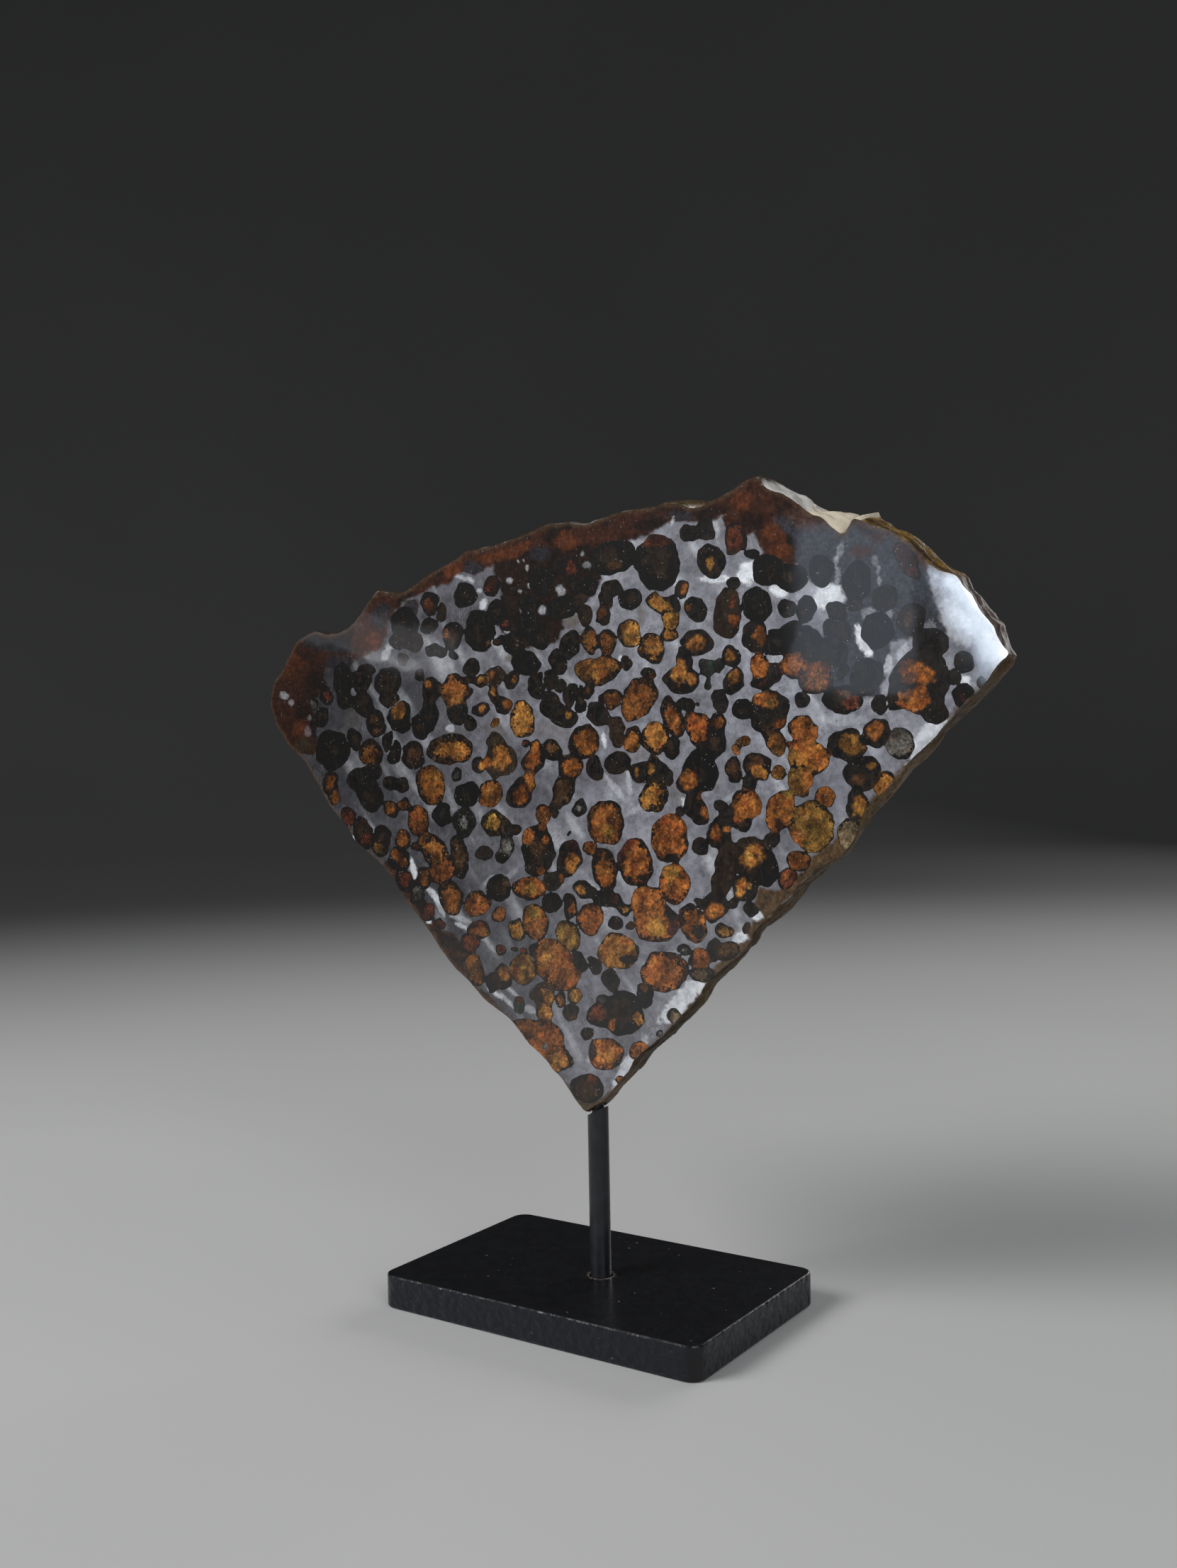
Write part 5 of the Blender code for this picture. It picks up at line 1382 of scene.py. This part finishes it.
def crystal_finish():
    """Cloudy grains with painted golden and pale glints, polished flush under clear lacquer."""
    finish = Finish("olivine_crystals")
    place = finish.millimetres()
    tint = finish.attribute("tint")
    core, outline, sparkle = finish.parts(finish.attribute("finish"))[:3]
    grain = finish.noise(place, 2.4, 3.0, 0.6)
    cloud = finish.noise(place, 0.8, 3.0, 0.6)
    broad = finish.noise(finish.millimetres((0.42, 0.42, 0.30), -0.5), 1.0, 2.0)
    light = finish.times(finish.ramp(broad, 0.36, 0.62, 0.46, 1.50),
                         finish.ramp(grain, 0.32, 0.68, 0.55, 1.52))
    way = finish.ramp(finish.noise(place, 0.25, 1.0), 0.46, 0.54)
    for turn, share in ((0.9, way), (-0.6, finish.math("SUBTRACT", 1.0, way))):
        fibres = finish.noise(finish.millimetres((2.6, 2.6, 1.3), turn), 1.0, 2.0, 0.6)
        streak = finish.ramp(fibres, 0.36, 0.66, -0.20, 0.30)
        light = finish.times(light, finish.math("ADD", 1.0, finish.times(streak, share)))
    body = finish.tinted(tint, light)
    olive = finish.ramp(cloud, 0.52, 0.66, 0.0, 0.8)
    body = finish.mix(olive, body, finish.filtered(body, OLIVE_FILTER))
    red = finish.ramp(finish.noise(place, 0.45, 3.0), 0.52, 0.68, 0.0, 0.8)
    body = finish.mix(red, body, finish.filtered(body, RED_FILTER))
    brown = finish.times(finish.ramp(cloud, 0.48, 0.66, 0.0, 0.6), finish.ramp(sparkle, 0.0, 0.12, 1.0, 0.0))
    body = finish.mix(brown, body, CRYSTAL_BROWN)
    dim = finish.mix(finish.ramp(grain, 0.50, 0.64, 0.0, 0.7), CRYSTAL_DARK, finish.tinted(tint, 0.38))
    jitter = finish.math("ADD", finish.ramp(finish.noise(place, 1.9, 2.0), 0.30, 0.70, -0.26, 0.26),
                         finish.ramp(cloud, 0.30, 0.70, -0.16, 0.16))
    inside = finish.ramp(finish.math("ADD", core, jitter), 0.36, 0.64)
    colour = finish.mix(inside, dim, body)
    close = finish.math("ADD", outline, finish.ramp(grain, 0.3, 0.7, -0.08, 0.08))
    colour = finish.mix(finish.ramp(close, 0.80, 0.96, 0.0, 0.75), colour, CRYSTAL_OUTLINE)
    # Painted glints in clusters: golden ones where the crystals sparkle, and pale ones
    gathered = finish.ramp(finish.noise(place, 0.55, 2.0), 0.48, 0.62)
    gold_glints = finish.times(finish.ramp(sparkle, 0.0, 1.0, 0.05, 0.95), gathered)
    colour = finish.specks(colour, place, 2.4, 0.33, 0.66, GOLD_GLINT, gold_glints)
    colour = finish.specks(colour, place, 3.1, 0.30, 0.91, PALE_GLINT, gathered)
    scratch = finish.noise(finish.millimetres((8.0, 8.0, 0.22), 0.12), 1.0, 1.0)
    colour = finish.mix(finish.ramp(scratch, 0.70, 0.76, 0.0, 0.14), colour, CRYSTAL_SCRATCH)
    finish.set(Base_Color=colour, Roughness=finish.ramp(grain, 0.3, 0.7, 0.34, 0.60))
    finish.set(Normal=finish.bump(grain, 0.6, 0.07 * MM), Specular_IOR_Level=0.15)
    finish.lacquer(place)
    return finish.material


def metal_finish():
    """Iron-nickel with fine scratches and specks, and its rusty ground, all lacquered."""
    finish = Finish("iron_nickel")
    place = finish.millimetres()
    tint = finish.attribute("tint")
    metallic, rough = finish.parts(finish.attribute("finish"))[:2]
    colour = finish.tinted(tint, finish.ramp(finish.noise(place, 0.9, 4.0, 0.6), 0.25, 0.75, 0.74, 1.26))
    grain = finish.ramp(finish.noise(place, 1.7, 3.0, 0.55), 0.32, 0.68, 0.70, 1.32)
    crust = finish.ramp(metallic, 0.0, 0.5, 1.0, 0.0)
    colour = finish.mix(crust, colour, finish.tinted(colour, grain))
    marks = 0.0
    for turn, low, depth in ((0.12, 0.66, 0.24), (-0.7, 0.68, 0.24), (1.1, 0.69, 0.20)):
        line = finish.noise(finish.millimetres((9.0, 9.0, 0.30), turn), 1.0, 1.0)
        marks = finish.math("ADD", marks, finish.ramp(line, low, low + 0.08, 0.0, depth))
    marks = finish.times(marks, finish.ramp(finish.noise(place, 0.11, 2.0), 0.42, 0.62, 0.15, 1.6))
    colour = finish.mix(finish.times(marks, metallic), colour, METAL_SCRATCH)
    pits = finish.ramp(finish.noise(place, 3.2, 3.0, 0.6), 0.56, 0.64, 0.0, 0.55)
    pitted = finish.ramp(finish.noise(place, 0.28, 2.0), 0.50, 0.66)
    colour = finish.mix(finish.times(pits, pitted), colour, METAL_PIT)
    colour = finish.specks(colour, place, 0.75, 0.12, 0.82, METAL_SPECK, 0.8)
    fallen = finish.ramp(finish.noise(place, 0.25, 2.0), 0.45, 0.62, 0.1, 0.9)
    colour = finish.specks(colour, place, 2.1, 0.17, 0.80, METAL_DUST, fallen)
    relief = finish.bump(finish.noise(place, 2.2, 3.0, 0.6), 0.18, 0.04 * MM)
    finish.set(Base_Color=colour, Metallic=metallic, Roughness=rough, Normal=relief, Specular_IOR_Level=0.1)
    finish.lacquer(place)
    return finish.material


def crust_finish():
    """The natural rim: rough weathered crust with a trace of lacquer."""
    finish = Finish("natural_crust")
    place = finish.millimetres()
    metallic, rough, smooth = finish.parts(finish.attribute("finish"))[:3]
    tint = finish.attribute("tint")
    mottle = finish.noise(finish.millimetres((1.0, 1.9, 1.0)), 1.5, 5.0, 0.65)
    colour = finish.mix(smooth, finish.tinted(tint, finish.ramp(mottle, 0.28, 0.72, 0.40, 1.75)), tint)
    rise = finish.ramp(smooth, 0.0, 1.0, 0.9, 0.1)
    relief = finish.bump(finish.noise(place, 1.9, 5.0, 0.65), rise, 0.16 * MM)
    finish.set(Base_Color=colour, Metallic=metallic, Roughness=rough, Normal=relief, Specular_IOR_Level=0.12)
    finish.set(Coat_Weight=0.14, Coat_Roughness=0.24)
    return finish.material


def stand_finish(name, plate=None, foot=None):
    """Satin black paint, lighter on the rod as a painted sheen. The plate's has worn upper edges, hammered
    sides, dust and a ring at the rod's foot.
    """
    finish = Finish(name)
    place = finish.millimetres()
    cloud = finish.ramp(finish.noise(place, 0.35, 3.0, 0.6), 0.3, 0.7)
    colour = finish.mix(cloud, *PAINT)
    rough = finish.ramp(finish.noise(place, 1.3, 4.0, 0.6), 0.3, 0.7, 0.26, 0.38)
    relief = finish.bump(finish.noise(place, 3.0, 3.0, 0.6), 0.25, 0.02 * MM)
    if plate is not None:
        half_x, half_y, top_z = (c / MM for c in plate)
        x, y, z = finish.node("ShaderNodeSeparateXYZ", {0: place}).outputs
        from_x = finish.math("SUBTRACT", half_x, finish.math("ABSOLUTE", x))
        from_y = finish.math("SUBTRACT", half_y, finish.math("ABSOLUTE", y))
        from_side = finish.math("MINIMUM", from_x, from_y)
        side = finish.ramp(from_side, 0.05, 0.3, 1.0, 0.0)
        dents = finish.noise(place, 0.70, 1.5, 0.4)
        relief = finish.bump(dents, side, 0.65 * MM, relief)
        worn = finish.times(finish.ramp(z, top_z - 0.40, top_z - 0.12),
                            finish.ramp(from_side, 0.08, 0.34, 1.0, 0.0),
                            finish.ramp(finish.noise(place, 0.9, 4.0, 0.7), 0.42, 0.62, 0.12, 0.50))
        colour = finish.mix(finish.times(side, 0.7), colour, PAINT_SIDE)
        colour = finish.mix(worn, colour, PAINT_WORN)
        top = finish.ramp(z, top_z - 0.05, top_z - 0.01)
        fallen = finish.times(finish.ramp(finish.noise(place, 0.10, 2.0), 0.44, 0.60, 0.1, 1.0), top)
        colour = finish.specks(colour, place, 0.55, 0.11, 0.55, PLATE_DUST[0], fallen)
        colour = finish.specks(colour, place, 1.3, 0.13, 0.86, PLATE_DUST[1], fallen)
        flat = finish.node("ShaderNodeCombineXYZ", {0: x, 1: y}).outputs[0]
        away = finish.node("ShaderNodeVectorMath", {0: flat, 1: foot}, operation="DISTANCE").outputs["Value"]
        away = finish.math("ADD", away, finish.times(finish.noise(place, 1.1, 4.0, 0.7), 3.0))
        ring = finish.times(finish.ramp(away, 3.7, 4.5, 0.85, 0.0), top)
        colour = finish.mix(ring, colour, FOOT_RING)
    else:
        # On the rod the paint is made 2.8 times lighter, a painted sheen for its soft highlight
        colour = finish.tinted(colour, 2.8)
    finish.set(Base_Color=colour, Roughness=rough, Normal=relief, Specular_IOR_Level=0.32)
    finish.set(Coat_Weight=0.15, Coat_Roughness=0.18)
    return finish.material


# The photograph's camera, the light and the floor

# Soft lights that face the slice: name, place, size, power and colour
AIM = Vector((0.0, 0.0, 0.10))
PANELS = (
    ("key", (-0.55, -0.75, 0.75), (0.5, 0.5), 8.0, (1.0, 1.0, 1.0)),
    ("fill", (0.85, -0.55, 0.45), (0.5, 0.6), 3.0, (0.95, 0.97, 1.0)),
    ("back", (0.2, 1.0, 0.40), (0.8, 0.4), 3.5, (1.0, 1.0, 1.0)),
)

# Lights that are seen in the lacquer: name, the y of their plane, the two pixels between which they show,
# how many pixels wide, radiance and colour. Where two overlap, only the one nearer to the slice shows
GLARES = (
    ("window", -0.93, (1368, 786), (1444, 924), 46, 21.0, (1.0, 0.98, 0.97)),
    ("window_middle", -0.94, (1350, 790), (1430, 936), 58, 11.0, (0.80, 0.90, 1.0)),
    ("window_side", -0.95, (1336, 782), (1424, 948), 70, 6.5, (0.62, 0.80, 1.0)),
    ("veil_right", -0.96, (1122, 855), (1290, 855), 240, 1.3, (0.74, 0.84, 1.0)),
    ("veil_left", -0.95, (425, 878), (640, 922), 50, 0.7, (0.90, 0.92, 1.0)),
    ("glint_left", -0.94, (510, 926), (590, 938), 9, 3.5, (0.95, 0.96, 1.0)),
)


def axes_matrix(x, y, z, place):
    """The matrix of something with these axes at this place."""
    return Matrix((
        (x.x, y.x, z.x, place.x),
        (x.y, y.y, z.y, place.y),
        (x.z, y.z, z.z, place.z),
        (0.0, 0.0, 0.0, 1.0),
    ))


def make_camera():
    """The camera that took the photograph."""
    right, down, forward = eye_axes()
    camera = bpy.data.cameras.new("camera")
    camera.sensor_fit = "VERTICAL"
    camera.sensor_height = 36.0
    camera.lens = camera.sensor_height * PHOTO_FOCAL / PHOTO_SIZE[1]
    camera.clip_start = 0.01
    camera.clip_end = 20.0
    thing = bpy.data.objects.new("camera", camera)
    thing.matrix_world = axes_matrix(right, -down, -forward, EYE)
    bpy.context.scene.collection.objects.link(thing)
    bpy.context.scene.camera = thing


def add_light(name, size, power, colour, matrix):
    """A rectangular light that the camera itself doesn't see."""
    light = bpy.data.lights.new(name, "AREA")
    light.shape = "RECTANGLE"
    light.size, light.size_y = size
    light.energy = power
    light.color = colour
    thing = bpy.data.objects.new(name, light)
    thing.matrix_world = matrix
    thing.visible_camera = False
    bpy.context.scene.collection.objects.link(thing)


def mirrored(pixel, front_y, plane_y):
    """Where a pixel's ray, mirrored in the slice's front face, meets the upright plane at this y."""
    ray = pixel_ray(pixel)
    x, z = on_plane(pixel, front_y)
    run = (front_y - plane_y) / ray.y
    return Vector((x + ray.x * run, plane_y, z + ray.z * run))


def make_glare(name, front_y, plane_y, start, end, width, radiance, colour):
    """A light whose reflection in the front face is a band between two pixels, this many pixels wide."""
    first, last = mirrored(start, front_y, plane_y), mirrored(end, front_y, plane_y)
    side = (last - first).normalized()
    way = Vector((end[0] - start[0], end[1] - start[1])).normalized() * width
    beside = mirrored((start[0] - way.y, start[1] + way.x), front_y, plane_y) - first
    tall = (beside - side * beside.dot(side)).length
    long = (last - first).length
    out = Vector((0.0, -1.0, 0.0))
    matrix = axes_matrix(side, out.cross(side), out, (first + last) / 2)
    add_light(name, (long, tall), radiance * math.pi * long * tall, colour, matrix)


STUDIO_PROFILE = ((0.0, 0.0), (0.2, 0.0), (0.5, 0.0), (0.8, 0.0), (1.0, 0.0), (1.2, 0.02), (1.36, 0.08),
                  (1.48, 0.18), (1.56, 0.32), (1.6, 0.5), (1.62, 0.75), (1.62, 1.1), (1.62, 1.5))
STUDIO_SIDES = 96


def make_studio():
    """A pale round floor whose rim curves up into a wall."""
    points, faces = [], []
    for reach, z in STUDIO_PROFILE:
        for k in range(STUDIO_SIDES):
            turn = math.tau * k / STUDIO_SIDES
            points.append((reach * math.cos(turn), reach * math.sin(turn), z))
    for row in range(len(STUDIO_PROFILE) - 1):
        for k in range(STUDIO_SIDES):
            a, b = row * STUDIO_SIDES + k, row * STUDIO_SIDES + (k + 1) % STUDIO_SIDES
            faces.append((a, a + STUDIO_SIDES, b + STUDIO_SIDES, b))
    mesh = bpy.data.meshes.new("studio")
    mesh.from_pydata(points, [], faces)
    mesh.shade_smooth()
    finish = Finish("studio")
    place = finish.node("ShaderNodeTexCoord", {}).outputs["Object"]
    away = finish.node("ShaderNodeVectorMath", {0: place}, operation="LENGTH").outputs["Value"]
    tone = finish.times(finish.ramp(finish.noise(place, 3.0, 3.0), 0.3, 0.7, 0.97, 1.03),
                        finish.ramp(away, 0.15, 0.95, 1.0, 0.13))
    finish.set(Base_Color=finish.tinted(FLOOR_TONE, tone), Roughness=0.9)
    mesh.materials.append(finish.material)
    floor = bpy.data.objects.new("studio", mesh)
    floor.location.z = -0.1 * MM
    bpy.context.scene.collection.objects.link(floor)


def make_lights(front_y):
    """The dim sky, the soft lights and those that are seen in the lacquer."""
    world = bpy.data.worlds.new("world")
    world.use_nodes = True
    background = world.node_tree.nodes["Background"]
    background.inputs["Color"].default_value = SKY
    background.inputs["Strength"].default_value = 0.25
    bpy.context.scene.world = world
    bpy.context.scene.view_settings.view_transform = "Standard"
    for name, place, size, power, colour in PANELS:
        aim = (AIM - Vector(place)).to_track_quat("-Z", "Y").to_matrix().to_4x4()
        add_light(name, size, power, colour, Matrix.Translation(place) @ aim)
    for name, *glare in GLARES:
        make_glare(name, front_y, *glare)


def main():
    """Build the slice's pieces and their finishes, finish the stand, and set up the camera and the light."""
    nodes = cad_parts
    slab = nodes["meteorite_slice"]
    low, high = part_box("meteorite_slice")
    front = rough_loop(smooth_loop(face_loop(slab, low.y), OUTLINE_STEP), 1)
    back = rough_loop(smooth_loop(face_loop(slab, high.y), OUTLINE_STEP), 3)
    pieces, borders = face_pieces(front, back, low.y, high.y, crystal_finish(), metal_finish())
    pieces.append(rim_piece(slab, front, back, borders, low.y, high.y, crust_finish()))
    for piece in pieces:
        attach(piece, "root")
        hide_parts("meteorite_slice")
    rod_low, rod_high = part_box("rod")
    foot = ((rod_low.x + rod_high.x) / 2 / MM, (rod_low.y + rod_high.y) / 2 / MM, 0.0)
    nodes["rod"].material_slots[0].material = stand_finish("rod_paint_and_sheen")
    nodes["base_plate"].material_slots[0].material = stand_finish("plate_paint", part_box("base_plate")[1], foot)
    make_camera()
    make_studio()
    make_lights(low.y)


main()
